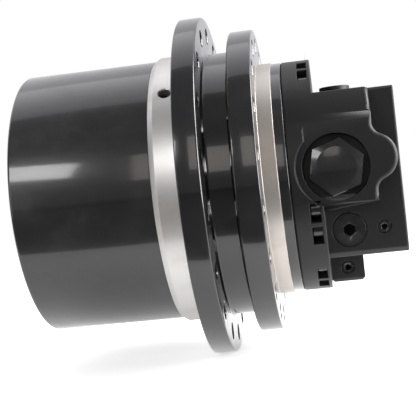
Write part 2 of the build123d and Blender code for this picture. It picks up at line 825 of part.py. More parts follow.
with BuildPart() as input_carrier:
    with BuildSketch(Plane.YZ.offset(input_carrier_x)):
        Circle(carrier_radius)
        Circle(sun_hub_radius + seat_fit, mode=Mode.SUBTRACT)
        with PolarLocations(input_distance, input_planet_count):
            Circle(input_pin_radius + seat_fit, mode=Mode.SUBTRACT)
    extrude(amount=input_carrier_thickness)
save(input_carrier, "input_carrier")

with BuildPart() as output_sun:
    with BuildSketch(Plane.YZ.offset(output_planet_x)):
        with BuildLine():
            Polyline(*gear(output_sun_teeth, 0), close=True)
        make_face()
    extrude(amount=output_face_width)
    with BuildSketch(Plane.YZ.offset(input_carrier_x)):
        Circle(sun_hub_radius)
    extrude(amount=output_planet_x - input_carrier_x)
    with BuildSketch(Plane.YZ.offset(input_carrier_x)):
        Circle(sun_bore_radius)
    extrude(amount=output_planet_x + output_face_width - input_carrier_x, mode=Mode.SUBTRACT)
save(output_sun, "output_sun")

coupling_x = output_carrier_x + output_carrier_thickness - coupling_reach
spline_root_radius = spline_pitch_radius - spline_module
spline_tip_radius = spline_pitch_radius + addendum * spline_module
with BuildPart() as input_sun:
    with BuildSketch(Plane.YZ.offset(input_planet_x)):
        with BuildLine():
            Polyline(*gear(input_sun_teeth, 0), close=True)
        make_face()
    extrude(amount=input_face_width)
    with BuildSketch(Plane.YZ.offset(input_planet_x + input_face_width)):
        Circle(sun_shank_radius)
    extrude(amount=coupling_x - input_planet_x - input_face_width)
    with BuildSketch(Plane.YZ.offset(coupling_x)):
        with BuildLine():
            Polyline(
                *toothed(spline_teeth, spline_module, spline_root_radius, spline_tip_radius, spline_play, 0),
                close=True,
            )
        make_face()
    extrude(amount=spline_length)
save(input_sun, "input_sun")

# Motor shaft with its bearings and seal
shaft_end_x = tail_bearing_x + tail_bearing_width
with BuildPart() as drive_shaft:
    revolve(
        turned(
            (coupling_x, 0),
            (coupling_x, shaft_radius),
            (swash_x, shaft_radius),
            (swash_x, shaft_spline_radius),
            (valve_plate_x, shaft_spline_radius),
            (valve_plate_x, shaft_tail_radius),
            (shaft_end_x, shaft_tail_radius),
            (shaft_end_x, 0),
        ),
        axis=Axis.X,
    )
    with BuildSketch(Plane.YZ.offset(coupling_x)):
        with BuildLine():
            Polyline(
                *toothed(
                    spline_teeth,
                    spline_module,
                    spline_root_radius + seat_fit,
                    spline_tip_radius + seat_fit,
                    -spline_play,
                    0,
                ),
                close=True,
            )
        make_face()
    extrude(amount=spline_length + end_play, mode=Mode.SUBTRACT)
save(drive_shaft, "drive_shaft")

with BuildPart() as shaft_seal:
    revolve(
        turned(
            (spindle_x + end_play, shaft_radius + running_fit),
            (shaft_seal_x - end_play, shaft_radius + running_fit),
            (shaft_seal_x - end_play, shaft_seal_radius - seat_fit),
            (spindle_x + end_play, shaft_seal_radius - seat_fit),
        ),
        axis=Axis.X,
    )
save(shaft_seal, "shaft_seal")

# Each shaft bearing: station, width, bore, outer radius and roller radius
shaft_bearings = (
    (shaft_bearing_x, shaft_bearing_width, shaft_radius, shaft_bearing_radius, shaft_roller_radius),
    (tail_bearing_x, tail_bearing_width, shaft_tail_radius, tail_bearing_radius, tail_roller_radius),
)
with BuildPart() as shaft_bearing_outer:
    for x, width, bore, outer, roller_radius in shaft_bearings:
        race = (bore + outer) / 2 + roller_radius + running_fit
        with BuildSketch(Plane.YZ.offset(x + end_play)):
            Circle(outer - seat_fit)
            Circle(race, mode=Mode.SUBTRACT)
        extrude(amount=width - 2 * end_play)
save(shaft_bearing_outer, "shaft_bearing_outer")

with BuildPart() as shaft_bearing_inner:
    for x, width, bore, outer, roller_radius in shaft_bearings:
        race = (bore + outer) / 2 - roller_radius - running_fit
        with BuildSketch(Plane.YZ.offset(x + end_play)):
            Circle(race)
            Circle(bore + seat_fit, mode=Mode.SUBTRACT)
        extrude(amount=width - 2 * end_play)
save(shaft_bearing_inner, "shaft_bearing_inner")

with BuildPart() as shaft_rollers:
    for x, width, bore, outer, roller_radius in shaft_bearings:
        with BuildSketch(Plane.YZ.offset(x + 2 * end_play)):
            with PolarLocations((bore + outer) / 2, shaft_roller_count):
                Circle(roller_radius)
        extrude(amount=width - 4 * end_play)
save(shaft_rollers, "shaft_rollers")

# Rotating group of the motor, with the swash plate at zero stroke
with BuildPart() as swash_plate:
    with BuildSketch(Plane.YZ.offset(swash_x)):
        Circle(swash_radius)
        Circle(swash_bore_radius, mode=Mode.SUBTRACT)
    extrude(amount=swash_thickness)
save(swash_plate, "swash_plate")

with BuildPart() as piston_shoes:
    with BuildSketch(Plane.YZ.offset(shoe_x)):
        with PolarLocations(piston_circle, piston_count):
            Circle(shoe_radius)
    extrude(amount=shoe_thickness)
    with BuildSketch(Plane.YZ.offset(collar_x)):
        with PolarLocations(piston_circle, piston_count):
            Circle(shoe_collar_radius)
    extrude(amount=shoe_collar_length)
save(piston_shoes, "piston_shoes")

with BuildPart() as pistons:
    with BuildSketch(Plane.YZ.offset(piston_x)):
        with PolarLocations(piston_circle, piston_count):
            Circle(piston_radius)
    extrude(amount=piston_length)
    with BuildSketch(Plane.YZ.offset(piston_x + piston_length)):
        with PolarLocations(piston_circle, piston_count):
            Circle(piston_hollow_radius)
    extrude(amount=-piston_bore_depth, mode=Mode.SUBTRACT)
save(pistons, "pistons")

retainer_ball_radius = shaft_spline_radius + seat_fit + retainer_ball_wall
with BuildPart() as shoe_retainer:
    with BuildSketch(Plane.YZ.offset(collar_x + end_play)):
        Circle(piston_circle + retainer_width)
        Circle(retainer_ball_radius + seat_fit, mode=Mode.SUBTRACT)
        with PolarLocations(piston_circle, piston_count):
            Circle(shoe_collar_radius + seat_fit, mode=Mode.SUBTRACT)
    extrude(amount=retainer_thickness)
save(shoe_retainer, "shoe_retainer")

with BuildPart() as retainer_ball:
    with BuildSketch(Plane.YZ.offset(collar_x + end_play)):
        Circle(retainer_ball_radius)
        Circle(shaft_spline_radius + seat_fit, mode=Mode.SUBTRACT)
    extrude(amount=retainer_ball_length)
    chamfer(retainer_ball.edges().group_by(Axis.X)[-1].sort_by(SortBy.RADIUS)[-1], edge_break)
save(retainer_ball, "retainer_ball")

with BuildPart() as cylinder_block:
    with BuildSketch(Plane.YZ.offset(block_x)):
        Circle(block_radius)
        Circle(shaft_spline_radius + seat_fit, mode=Mode.SUBTRACT)
    extrude(amount=block_length)
    with BuildSketch(Plane.YZ.offset(block_x)):
        with PolarLocations(piston_circle, piston_count):
            Circle(piston_radius + seat_fit)
    extrude(amount=block_length - block_floor, mode=Mode.SUBTRACT)
    with BuildSketch(Plane.YZ.offset(block_end_x)):
        with PolarLocations(piston_circle, piston_count):
            Circle(block_port_radius)
    extrude(amount=-block_floor, mode=Mode.SUBTRACT)
save(cylinder_block, "cylinder_block")

with BuildPart() as valve_plate:
    with BuildSketch(Plane.YZ.offset(valve_plate_x)):
        Circle(valve_plate_radius)
        Circle(shaft_spline_radius + running_fit, mode=Mode.SUBTRACT)
        for middle in (top_angle, -top_angle):
            kidney = CenterArc((0, 0), piston_circle, middle - kidney_sweep / 2, kidney_sweep)
            SlotArc(kidney, kidney_width, mode=Mode.SUBTRACT)
    extrude(amount=valve_plate_thickness)
save(valve_plate, "valve_plate")

# Parking brake: friction plates on the block, steel plates in the case, pressed by a sprung piston
brake_pitch = 2 * (brake_plate_thickness + brake_gap)
friction_outer = motor_bore_radius - brake_plate_overlap / 2
brake_piston_x = case_end_x - brake_spring_room - brake_piston_length
brake_stack_x = brake_piston_x + brake_plate_thickness - brake_steel_count * brake_pitch
with BuildPart() as brake_steel_plates:
    for plate in range(brake_steel_count):
        with BuildSketch(Plane.YZ.offset(brake_stack_x + plate * brake_pitch)):
            Circle(brake_plate_radius)
            Circle(block_radius + 2 * running_fit, mode=Mode.SUBTRACT)
        extrude(amount=brake_plate_thickness)
save(brake_steel_plates, "brake_steel_plates")

with BuildPart() as brake_friction_plates:
    for plate in range(brake_steel_count - 1):
        with BuildSketch(Plane.YZ.offset(brake_stack_x + (plate + 0.5) * brake_pitch)):
            Circle(friction_outer)
            Circle(block_radius + seat_fit, mode=Mode.SUBTRACT)
        extrude(amount=brake_plate_thickness)
save(brake_friction_plates, "brake_friction_plates")

with BuildPart() as brake_piston:
    with BuildSketch(Plane.YZ.offset(brake_piston_x)):
        Circle(brake_plate_radius)
        Circle(block_radius + 2 * running_fit, mode=Mode.SUBTRACT)
    extrude(amount=brake_piston_length)
save(brake_piston, "brake_piston")

spring_x = brake_piston_x + brake_piston_length + end_play
with BuildPart() as brake_spring:
    revolve(
        turned(
            (spring_x, block_radius + brake_plate_thickness),
            (spring_x + brake_spring_thickness, block_radius + brake_plate_thickness),
            (case_end_x - end_play, friction_outer + brake_plate_thickness),
            (case_end_x - end_play - brake_spring_thickness, friction_outer + brake_plate_thickness),
        ),
        axis=Axis.X,
    )
save(brake_spring, "brake_spring")

# Rear cover: port block, foot and valve block within the motor case's circle, and a flange with pockets
spool_seats = [side_plane(spool_x, spool_plug_seat, spool_z, side) for side in (-1, 1)]
speed_seats = [side_plane(speed_spool_x, port_block_half_width, speed_spool_z, side) for side in (-1, 1)]
top_boss_z = valve_block_top + top_boss_height
gallery_seats = [Plane((top_boss_x, 0, top_boss_z), z_dir=(0, 0, 1))]
for side in (-1, 1):
    gallery_seats.append(side_plane(gallery_x, port_block_half_width, gallery_z, side))
    gallery_seats.append(side_plane(foot_plug_x, foot_half_width, foot_plug_z, side))
    drain_plug_x = (cover_end_x + foot_end) / 2 + side * drain_plug_spacing / 2
    gallery_seats.append(Plane((drain_plug_x, 0, -foot_bottom - drain_plug_lift), z_dir=(0, 0, -1)))
port_block_length = port_block_end - cover_end_x
with BuildPart() as rear_cover:
    with BuildSketch(Plane.XZ):
        with Locations((cover_end_x, -port_block_bottom)):
            Rectangle(port_block_length, port_block_top + port_block_bottom, align=Align.MIN)
    extrude(amount=port_block_half_width, both=True)
    chamfer(rear_cover.edges().filter_by(Axis.X).group_by(Axis.Z)[0], port_block_bevel)
    chamfer(rear_cover.edges().filter_by(Axis.X).group_by(Axis.Z)[-1], casting_bevel)
    chamfer(rear_cover.edges().filter_by(Axis.Z).group_by(Axis.X)[-1], edge_break)
    with BuildSketch(Plane.XZ):
        with Locations((cover_end_x, -foot_bottom)):
            Rectangle(foot_end - cover_end_x, foot_bottom, align=Align.MIN)
    extrude(amount=foot_half_width, both=True)
    chamfer(rear_cover.edges().group_by(Axis.Z)[0], casting_bevel)
    with BuildSketch(Plane.XZ) as valve_outline:
        Polygon(
            (cover_end_x, -valve_block_bottom),
            (valve_block_end, -valve_block_bottom + valve_block_rise),
            (valve_block_end, valve_block_top),
            (cover_end_x, valve_block_top),
            align=None,
        )
        with Locations((lobe_x, lobe_z)):
            Circle(lobe_radius)
        end_corners = valve_outline.vertices().filter_by_position(
            Axis.X, valve_block_end - end_play, valve_block_end + end_play
        )
        fillet(end_corners.sort_by(Axis.Y)[1:-1], lobe_blend)
    extrude(amount=motor_case_radius + casting_bevel, both=True)
    with BuildSketch(Plane.XY.offset(valve_block_top)):
        with Locations((top_boss_x, 0)):
            Circle(top_boss_radius)
    extrude(amount=top_boss_height)
    with BuildSketch(Plane.YZ.offset(cover_end_x)):
        Circle(motor_case_radius)
    extrude(amount=port_block_length, mode=Mode.INTERSECT)
    revolve(
        turned(
            (case_end_x, 0),
            (case_end_x, motor_case_radius - edge_break),
            (case_end_x + edge_break, motor_case_radius),
            (cover_end_x, motor_case_radius),
            (cover_end_x, 0),
        ),
        axis=Axis.X,
    )
    for side in (-1, 1):
        with BuildSketch(side_plane(spool_x, valve_face, spool_z, side)):
            Circle(spool_face_radius + valve_face_clearance)
        extrude(amount=motor_case_radius, mode=Mode.SUBTRACT)
        with BuildSketch(Plane.XZ.offset(-side * valve_face)):
            with Locations((valve_face_wall_x, spool_z)):
                Rectangle(port_block_end, valve_block_top, align=Align.MIN)
            with Locations((cover_end_x, spool_z)):
                Rectangle(port_block_end, motor_case_radius, align=(Align.MIN, Align.MAX))
        extrude(amount=-side * motor_case_radius, mode=Mode.SUBTRACT)
    block_rim = rear_cover.edges().filter_by(
        lambda edge: edge.center().X > spool_x + spool_face_radius
        and abs(edge.center().Y) > valve_face - end_play
    )
    fillet(block_rim, valve_edge_radius)
    with BuildSketch(Plane.YZ.offset(screw_seat_x)):
        for angle in cover_screw_angles:
            with PolarLocations(cover_screw_circle, 1, start_angle=angle):
                Circle(cover_screw_head_radius + cover_pocket_play)
    extrude(amount=port_block_end - screw_seat_x, mode=Mode.SUBTRACT)
    with BuildSketch(Plane.YZ.offset(screw_seat_x)):
        for angle in cover_screw_angles:
            with PolarLocations(cover_screw_circle, 1, start_angle=angle):
                Rectangle(
                    motor_case_radius - cover_screw_circle + edge_break,
                    2 * (cover_screw_head_radius + cover_pocket_play),
                    align=(Align.MIN, Align.CENTER),
                )
    extrude(amount=cover_window_length, mode=Mode.SUBTRACT)
    with BuildSketch(Plane.YZ.offset(case_end_x)):
        for angle in cover_screw_angles:
            with PolarLocations(cover_screw_circle, 1, start_angle=angle):
                Circle(cover_screw_radius + seat_fit)
    extrude(amount=cover_screw_seat, mode=Mode.SUBTRACT)
    with BuildSketch(Plane.YZ.offset(case_end_x)):
        Circle(tail_bearing_radius)
    extrude(amount=tail_bearing_width + 2 * end_play, mode=Mode.SUBTRACT)
    for seat in spool_seats:
        with BuildSketch(seat):
            Circle(spool_face_radius)
        extrude(amount=valve_face - spool_plug_seat, mode=Mode.SUBTRACT)
        with BuildSketch(seat):
            Circle(spool_plug_radius + seat_fit)
        extrude(amount=-spool_plug_depth, mode=Mode.SUBTRACT)
        with BuildSketch(seat):
            Circle(spool_radius + seat_fit)
        extrude(amount=-spool_plug_seat, mode=Mode.SUBTRACT)
    for seat in speed_seats:
        with BuildSketch(seat):
            Circle(speed_plug_radius + seat_fit)
        extrude(amount=-speed_plug_depth, mode=Mode.SUBTRACT)
        with BuildSketch(seat):
            Circle(speed_spool_radius + seat_fit)
        extrude(amount=-port_block_half_width, mode=Mode.SUBTRACT)
    for seat in gallery_seats:
        with BuildSketch(seat):
            Circle(gallery_plug_radius + seat_fit)
        extrude(amount=-gallery_plug_depth, mode=Mode.SUBTRACT)
    for port_y, port_z, port_radius, port_depth in (
        (-main_port_spacing / 2, main_port_z, main_port_radius, main_port_depths[0]),
        (main_port_spacing / 2, main_port_z, main_port_radius, main_port_depths[1]),
        (0, drain_port_z, drain_port_radius, drain_port_depth),
        (0, pilot_port_z, pilot_port_radius, pilot_port_depth),
    ):
        with BuildSketch(Plane.YZ.offset(port_block_end)):
            with Locations((port_y, port_z)):
                Circle(port_radius)
        extrude(amount=-port_depth, mode=Mode.SUBTRACT)
save(rear_cover, "rear_cover")

with BuildPart() as cover_screws:
    for angle in cover_screw_angles:
        with BuildSketch(Plane.YZ.offset(screw_seat_x)):
            with PolarLocations(cover_screw_circle, 1, start_angle=angle):
                Circle(cover_screw_head_radius)
        extrude(amount=cover_screw_head)
        with BuildSketch(Plane.YZ.offset(screw_seat_x)):
            with PolarLocations(cover_screw_circle, 1, start_angle=angle):
                Circle(cover_screw_radius)
        extrude(amount=-cover_screw_length)
        with BuildSketch(Plane.YZ.offset(screw_seat_x + cover_screw_head)):
            with PolarLocations(cover_screw_circle, 1, start_angle=angle):
                RegularPolygon(cover_socket_flats / 2, 6, major_radius=False)
        extrude(amount=-cover_socket_depth, mode=Mode.SUBTRACT)
save(cover_screws, "cover_screws")

# Counterbalance spool between two springs, closed by hexagon plugs; the speed spool has one spring
speed_spring_y = speed_spool_length + end_play - speed_stop_y
with BuildPart() as counterbalance_spool:
    with BuildSketch(Plane((spool_x, 0, spool_z), x_dir=(1, 0, 0), z_dir=(0, 1, 0))):
        Circle(spool_radius)
    extrude(amount=spool_half_length, both=True)
    for groove_side in (-1, 1):
        groove = side_plane(spool_x, spool_land / 2, spool_z, groove_side)
        with BuildSketch(groove):
            Circle(spool_radius + seat_fit)
            Circle(spool_groove_radius, mode=Mode.SUBTRACT)
        extrude(amount=spool_land, mode=Mode.SUBTRACT)
save(counterbalance_spool, "counterbalance_spool")

with BuildPart() as spool_springs:
    for side in (-1, 1):
        with BuildSketch(side_plane(spool_x, spool_half_length + end_play, spool_z, side)):
            Circle(spring_radius)
            Circle(spring_radius - spring_wall, mode=Mode.SUBTRACT)
        extrude(amount=spool_plug_seat - spool_plug_depth - spool_half_length - 2 * end_play)
    with BuildSketch(side_plane(speed_spool_x, speed_spring_y + end_play, speed_spool_z, 1)):
        Circle(speed_spring_radius)
        Circle(speed_spring_radius - speed_spring_wall, mode=Mode.SUBTRACT)
    extrude(amount=speed_stop_y - speed_spring_y - 2 * end_play)
save(spool_springs, "spool_springs")

with BuildPart() as spool_plugs:
    for seat in spool_seats:
        with BuildPart():
            with BuildSketch(seat):
                RegularPolygon(spool_plug_flats / 2, 6, major_radius=False, rotation=spool_plug_turn)
            extrude(amount=spool_plug_head)
            with BuildSketch(seat.offset(spool_plug_head)):
                Circle(spool_plug_face_radius)
            extrude(amount=-spool_plug_head, taper=-spool_plug_taper, mode=Mode.INTERSECT)
        with BuildSketch(seat):
            Circle(spool_plug_radius)
        extrude(amount=-spool_plug_depth)
save(spool_plugs, "spool_plugs")

# Speed change spool behind two flush plugs
with BuildPart() as speed_spool:
    with BuildSketch(side_plane(speed_spool_x, speed_spring_y, speed_spool_z, 1)):
        Circle(speed_spool_radius)
    extrude(amount=-speed_spool_length)
save(speed_spool, "speed_spool")

with BuildPart() as speed_plugs:
    for seat in speed_seats:
        with BuildSketch(seat):
            Circle(speed_plug_radius)
        extrude(amount=-speed_plug_depth)
        with BuildSketch(seat):
            RegularPolygon(speed_socket_flats / 2, 6, major_radius=False)
        extrude(amount=-speed_socket_depth, mode=Mode.SUBTRACT)
save(speed_plugs, "speed_plugs")

with BuildPart() as gallery_plugs:
    for seat in gallery_seats:
        with BuildSketch(seat):
            Circle(gallery_plug_radius)
        extrude(amount=-gallery_plug_depth)
        with BuildSketch(seat):
            RegularPolygon(gallery_socket_flats / 2, 6, major_radius=False)
        extrude(amount=-gallery_socket_depth, mode=Mode.SUBTRACT)
save(gallery_plugs, "gallery_plugs")
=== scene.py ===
"""Looks of the excavator final drive: turned and cast pieces, their finishes, light and camera."""
import json
import logging
from dataclasses import dataclass, field
from enum import Enum
from math import acos, cos, pi, radians, sin, tan
from typing import Any, Iterable, Sequence

import bmesh
import bpy
from mathutils import Matrix, Vector


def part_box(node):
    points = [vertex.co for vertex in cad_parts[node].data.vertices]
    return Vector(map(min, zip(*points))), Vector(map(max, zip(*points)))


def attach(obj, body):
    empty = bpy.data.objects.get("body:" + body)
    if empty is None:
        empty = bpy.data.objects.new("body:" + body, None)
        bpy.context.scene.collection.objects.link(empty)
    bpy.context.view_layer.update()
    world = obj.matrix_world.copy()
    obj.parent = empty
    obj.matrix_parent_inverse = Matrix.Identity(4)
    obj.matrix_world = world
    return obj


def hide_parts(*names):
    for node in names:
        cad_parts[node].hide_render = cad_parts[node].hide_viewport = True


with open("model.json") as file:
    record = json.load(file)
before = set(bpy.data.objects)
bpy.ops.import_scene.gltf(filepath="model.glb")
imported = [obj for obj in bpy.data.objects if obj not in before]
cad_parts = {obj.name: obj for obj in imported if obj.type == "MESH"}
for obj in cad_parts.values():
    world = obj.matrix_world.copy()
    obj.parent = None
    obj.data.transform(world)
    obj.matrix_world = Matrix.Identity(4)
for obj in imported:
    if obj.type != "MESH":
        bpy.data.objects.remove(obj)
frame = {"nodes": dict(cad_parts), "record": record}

LOG = logging.getLogger("final_drive")

# Lengths in metres, angles in degrees.
MM = 0.001
WELD_GAP = 1e-6
CAD_GAP = 2e-6
THIN_EDGE = 1e-7
ON_FACE = 1e-4
CREASE_ANGLE = 32.0
FLAT_ANGLE = 0.4
ROUND_SEGMENTS = 192
FLANGE_SEGMENTS = 216
HOLE_SIDES = 32
DRILL_OVERRUN = 0.004
CORNER_RATIO = 1.155
WHITE = (1.0, 1.0, 1.0, 1.0)

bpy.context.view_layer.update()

Span = tuple[float, float]
Triple = tuple[float, float, float]
Outline = list[Span]
Seat = tuple[Vector, Vector]


class Value:
    """A node socket that takes part in Python expressions."""

    def __init__(self, graph: "Graph", socket: bpy.types.NodeSocket) -> None:
        """Keep the socket with the graph that it belongs to."""
        self.graph = graph
        self.socket = socket

    def _math(self, operation: str, *operands: Any) -> "Value":
        """One Math node.

        Args:
            operation: the Math node's operation.
            operands: numbers or values, in the order of the node's sockets.

        Returns:
            The node's result.
        """
        return self.graph.node("ShaderNodeMath", {"operation": operation}, dict(enumerate(operands)))

    def __add__(self, other: Any) -> "Value":
        """self + other."""
        return self._math("ADD", self, other)

    def __radd__(self, other: Any) -> "Value":
        """other + self."""
        return self._math("ADD", other, self)

    def __sub__(self, other: Any) -> "Value":
        """self - other."""
        return self._math("SUBTRACT", self, other)

    def __rsub__(self, other: Any) -> "Value":
        """other - self."""
        return self._math("SUBTRACT", other, self)

    def __mul__(self, other: Any) -> "Value":
        """self * other."""
        return self._math("MULTIPLY", self, other)

    def __rmul__(self, other: Any) -> "Value":
        """other * self."""
        return self._math("MULTIPLY", other, self)

    def __truediv__(self, other: Any) -> "Value":
        """self / other."""
        return self._math("DIVIDE", self, other)

    def __pow__(self, other: Any) -> "Value":
        """self to the power of other."""
        return self._math("POWER", self, other)

    def step(self, start: float, end: float) -> "Value":
        """Smooth step.

        Args:
            start: where the step is still 0.
            end: where it has reached 1.

        Returns:
            The step's value.
        """
        return self.graph.node(
            "ShaderNodeMapRange",
            {"interpolation_type": "SMOOTHSTEP"},
            {"Value": self, "From Min": start, "From Max": end},
        )


class Graph:
    """A node tree that is built from Python expressions."""

    def __init__(self, tree: bpy.types.NodeTree) -> None:
        """Take over a tree; nodes that it already has stay."""
        self.tree = tree

    @classmethod
    def blank(cls, owner: bpy.types.Material | bpy.types.World) -> "Graph":
        """Empty the node tree of a material or a world.

        Args:
            owner: the material or world.

        Returns:
            Its graph.
        """
        owner.use_nodes = True
        owner.node_tree.nodes.clear()
        return cls(owner.node_tree)

    def node(self, kind: str, settings: dict[str, Any] | None = None,
             inputs: dict[Any, Any] | None = None, output: int | str = 0) -> Value:
        """Add a node.

        Args:
            kind: the node's type.
            settings: properties of the node, set first.
            inputs: numbers or values for its sockets, by name or index; a list links several to one.
            output: which of its outputs is wanted.

        Returns:
            That output.
        """
        made = self.tree.nodes.new(kind)
        for name, setting in (settings or {}).items():
            setattr(made, name, setting)
        for key, given in (inputs or {}).items():
            socket = made.inputs[key]
            for item in given if isinstance(given, list) else [given]:
                if isinstance(item, Value):
                    self.tree.links.new(item.socket, socket)
                else:
                    socket.default_value = item
        return Value(self, made.outputs[output]) if made.outputs else Value(self, made.inputs[0])

    def mix(self, factor: Any, first: Any, second: Any) -> Value:
        """Mix two colours.

        Args:
            factor: 0 for the first colour, 1 for the second.
            first: a colour.
            second: a colour.

        Returns:
            The mixed colour.
        """
        return self.node("ShaderNodeMix", {"data_type": "RGBA"}, {0: factor, 6: first, 7: second}, output=2)

    def noise(self, place: Value, scale: float, detail: float = 3.0, roughness: float = 0.55) -> Value:
        """Noise from 0 to 1.

        Args:
            place: the point that it is read at.
            scale: its fineness.
            detail: how many finer layers it has.
            roughness: the weight of the finer layers.

        Returns:
            The noise.
        """
        return self.node(
            "ShaderNodeTexNoise",
            {"noise_dimensions": "3D"},
            {"Vector": place, "Scale": scale, "Detail": detail, "Roughness": roughness},
        )

    def stretched_noise(self, place: Value, scale: Triple, detail: float, roughness: float = 0.55) -> Value:
        """Noise with a fineness of its own along each axis.

        Args:
            place: the point that it is read at.
            scale: its fineness along X, Y and Z.
            detail: how many finer layers it has.
            roughness: the weight of the finer layers.

        Returns:
            The noise.
        """
        spread = self.node("ShaderNodeMapping", {"vector_type": "POINT"}, {"Vector": place, "Scale": scale})
        return self.noise(spread, 1.0, detail, roughness)


def rgba(colour: Sequence[float]) -> tuple[float, float, float, float]:
    """A colour with full alpha."""
    return (colour[0], colour[1], colour[2], 1.0)


@dataclass(frozen=True)
class Finish:
    """What every finish shares: a Principled material whose inputs come from expressions."""

    name: str

    def material(self) -> bpy.types.Material:
        """Make the finish's material, once.

        Returns:
            The material.
        """
        made = bpy.data.materials.get(self.name)
        if made:
            return made
        made = bpy.data.materials.new(self.name)
        graph = Graph.blank(made)
        place = graph.node("ShaderNodeTexCoord", output="Object")
        shader = graph.node("ShaderNodeBsdfPrincipled")
        graph.node("ShaderNodeOutputMaterial", None, {"Surface": shader})
        self.dress(graph, place, shader.socket.node.inputs)
        return made

    def dress(self, graph: Graph, place: Value, sockets: Any) -> None:
        """Feed the shader's sockets.

        Args:
            graph: the material's graph.
            place: the Object coordinates.
            sockets: the shader's inputs.
        """
        raise NotImplementedError

    @staticmethod
    def feed(graph: Graph, sockets: Any, **inputs: Any) -> None:
        """Link values to sockets and set numbers on them.

        Args:
            graph: the material's graph.
            sockets: the shader's inputs.
            inputs: by socket name, with _ for a space.
        """
        for name, given in inputs.items():
            socket = sockets[name.replace("_", " ")]
            if isinstance(given, Value):
                graph.tree.links.new(given.socket, socket)
            else:
                socket.default_value = given

    @staticmethod
    def bump(graph: Graph, height: Value, depth: float) -> Value:
        """A normal that follows a height.

        Args:
            graph: the material's graph.
            height: from 0 to 1.
            depth: what a height of 1 stands for, in metres.

        Returns:
            The normal.
        """
        return graph.node("ShaderNodeBump", None, {"Height": height, "Distance": depth, "Strength": 1.0})


@dataclass(frozen=True)
class BlackPaint(Finish):
    """Gloss black paint with handling marks, left off bare turned bands (start, end, radius in mm)."""

    colour: Triple = (0.012, 0.012, 0.0135)
    roughness: float = 0.2
    haze: float = 0.1
    dust: float = 0.012
    coat: float = 0.5
    coat_roughness: float = 0.05
    peel: float = 0.00004
    bands: tuple[Triple, ...] = ()
    steel: Triple = (0.66, 0.64, 0.62)
    steel_roughness: float = 0.3
    stain_tint: Triple = (0.72, 0.68, 0.64)
    # Painted shade: the insides of hex sockets are coloured near-black and matt, standing for the shade in
    # the hole.
    socket_painted_shade: Triple = (0.002, 0.002, 0.002)
    socket_roughness: float = 0.9
    smudge_scale: float = 26.0
    smudge_span: Span = (0.45, 0.75)
    smudge_share: float = 0.7
    speck_scale: float = 210.0
    speck_span: Span = (0.6, 0.78)
    speck_share: float = 0.3
    speck_haze: float = 0.4
    peel_scale: float = 420.0
    groove_scale: Triple = (2600.0, 9.0, 9.0)
    groove_share: float = 0.3
    groove_haze: float = 0.1
    stain_scale: Triple = (14.0, 30.0, 30.0)
    stain_span: Span = (0.42, 0.72)
    stain_share: float = 0.5
    stain_haze: float = 0.12
    edge_scale: float = 60.0
    edge_wander: float = 0.8
    edge_blur: float = 0.2
    shoulder_blur: Span = (0.3, 0.8)

    def dress(self, graph: Graph, place: Value, sockets: Any) -> None:
        """Feed the shader with smudged paint, and with painted shade in sockets or bare steel bands.

        Args:
            graph: the material's graph.
            place: the Object coordinates.
            sockets: the shader's inputs.
        """
        smudge = graph.noise(place, self.smudge_scale, detail=5.0, roughness=0.62).step(*self.smudge_span)
        specks = graph.noise(place, self.speck_scale, detail=2.0).step(*self.speck_span)
        rough = self.roughness + smudge * self.haze + specks * (self.haze * self.speck_haze)
        dusty = rgba([part + self.dust for part in self.colour])
        marks = smudge * self.smudge_share + specks * self.speck_share
        paint = graph.mix(marks, rgba(self.colour), dusty)
        peel = graph.noise(place, self.peel_scale, detail=2.0)
        if self.bands:
            self.dress_banded(graph, place, sockets, paint, rough, peel)
            return
        # Painted shade: where a fastener marks its socket inside, the paint turns near-black, matt and
        # uncoated.
        clear = 1.0 - graph.node("ShaderNodeAttribute", {"attribute_name": "cavity"}, output="Fac")
        self.feed(
            graph, sockets,
            Base_Color=graph.mix(clear, rgba(self.socket_painted_shade), paint),
            Roughness=rough * clear + (1.0 - clear) * self.socket_roughness,
            Coat_Weight=clear * self.coat,
            Coat_Roughness=self.coat_roughness,
            Normal=self.bump(graph, peel, self.peel),
        )

    def bare(self, graph: Graph, place: Value) -> Any:
        """Where the bands lie.

        Args:
            graph: the material's graph.
            place: the Object coordinates.

        Returns:
            1 on bare steel and 0 on paint.
        """
        parts = graph.node("ShaderNodeSeparateXYZ", None, {0: place}).socket.node.outputs
        x, y, z = (Value(graph, part) for part in parts)
        radius = (y * y + z * z) ** 0.5
        wander = graph.noise(place, self.edge_scale, detail=2.0) - 0.5
        along = x + wander * (self.edge_wander * MM)
        near, far = self.shoulder_blur
        bare: Any = 0.0
        for start, end, limit in self.bands:
            inside = along.step((start - self.edge_blur) * MM, (start + self.edge_blur) * MM)
            inside = inside * (1.0 - along.step((end - self.edge_blur) * MM, (end + self.edge_blur) * MM))
            bare = inside * (1.0 - radius.step((limit + near) * MM, (limit + far) * MM)) + bare
        return bare

    def dress_banded(self, graph: Graph, place: Value, sockets: Any, paint: Value, rough: Value,
                     peel: Value) -> None:
        """Feed the shader with paint, and with steel with turning marks in the bands.

        Args:
            graph: the material's graph.
            place: the Object coordinates.
            sockets: the shader's inputs.
            paint: the paint's colour.
            rough: the paint's roughness.
            peel: the paint's height.
        """
        bare = self.bare(graph, place)
        grooves = graph.stretched_noise(place, self.groove_scale, detail=3.0, roughness=0.7)
        stain = graph.stretched_noise(place, self.stain_scale, detail=4.0).step(*self.stain_span)
        stained = rgba([part * tint for part, tint in zip(self.steel, self.stain_tint)])
        marks = stain * self.stain_share + grooves * self.groove_share
        steel = graph.mix(marks, rgba(self.steel), stained)
        steel_rough = self.steel_roughness + stain * self.stain_haze + grooves * self.groove_haze
        self.feed(
            graph, sockets,
            Base_Color=graph.mix(bare, paint, steel),
            Metallic=bare,
            Roughness=rough * (1.0 - bare) + steel_rough * bare,
            Coat_Weight=(1.0 - bare) * self.coat,
            Coat_Roughness=self.coat_roughness,
            Normal=self.bump(graph, grooves * bare + peel * (1.0 - bare), self.peel),
        )


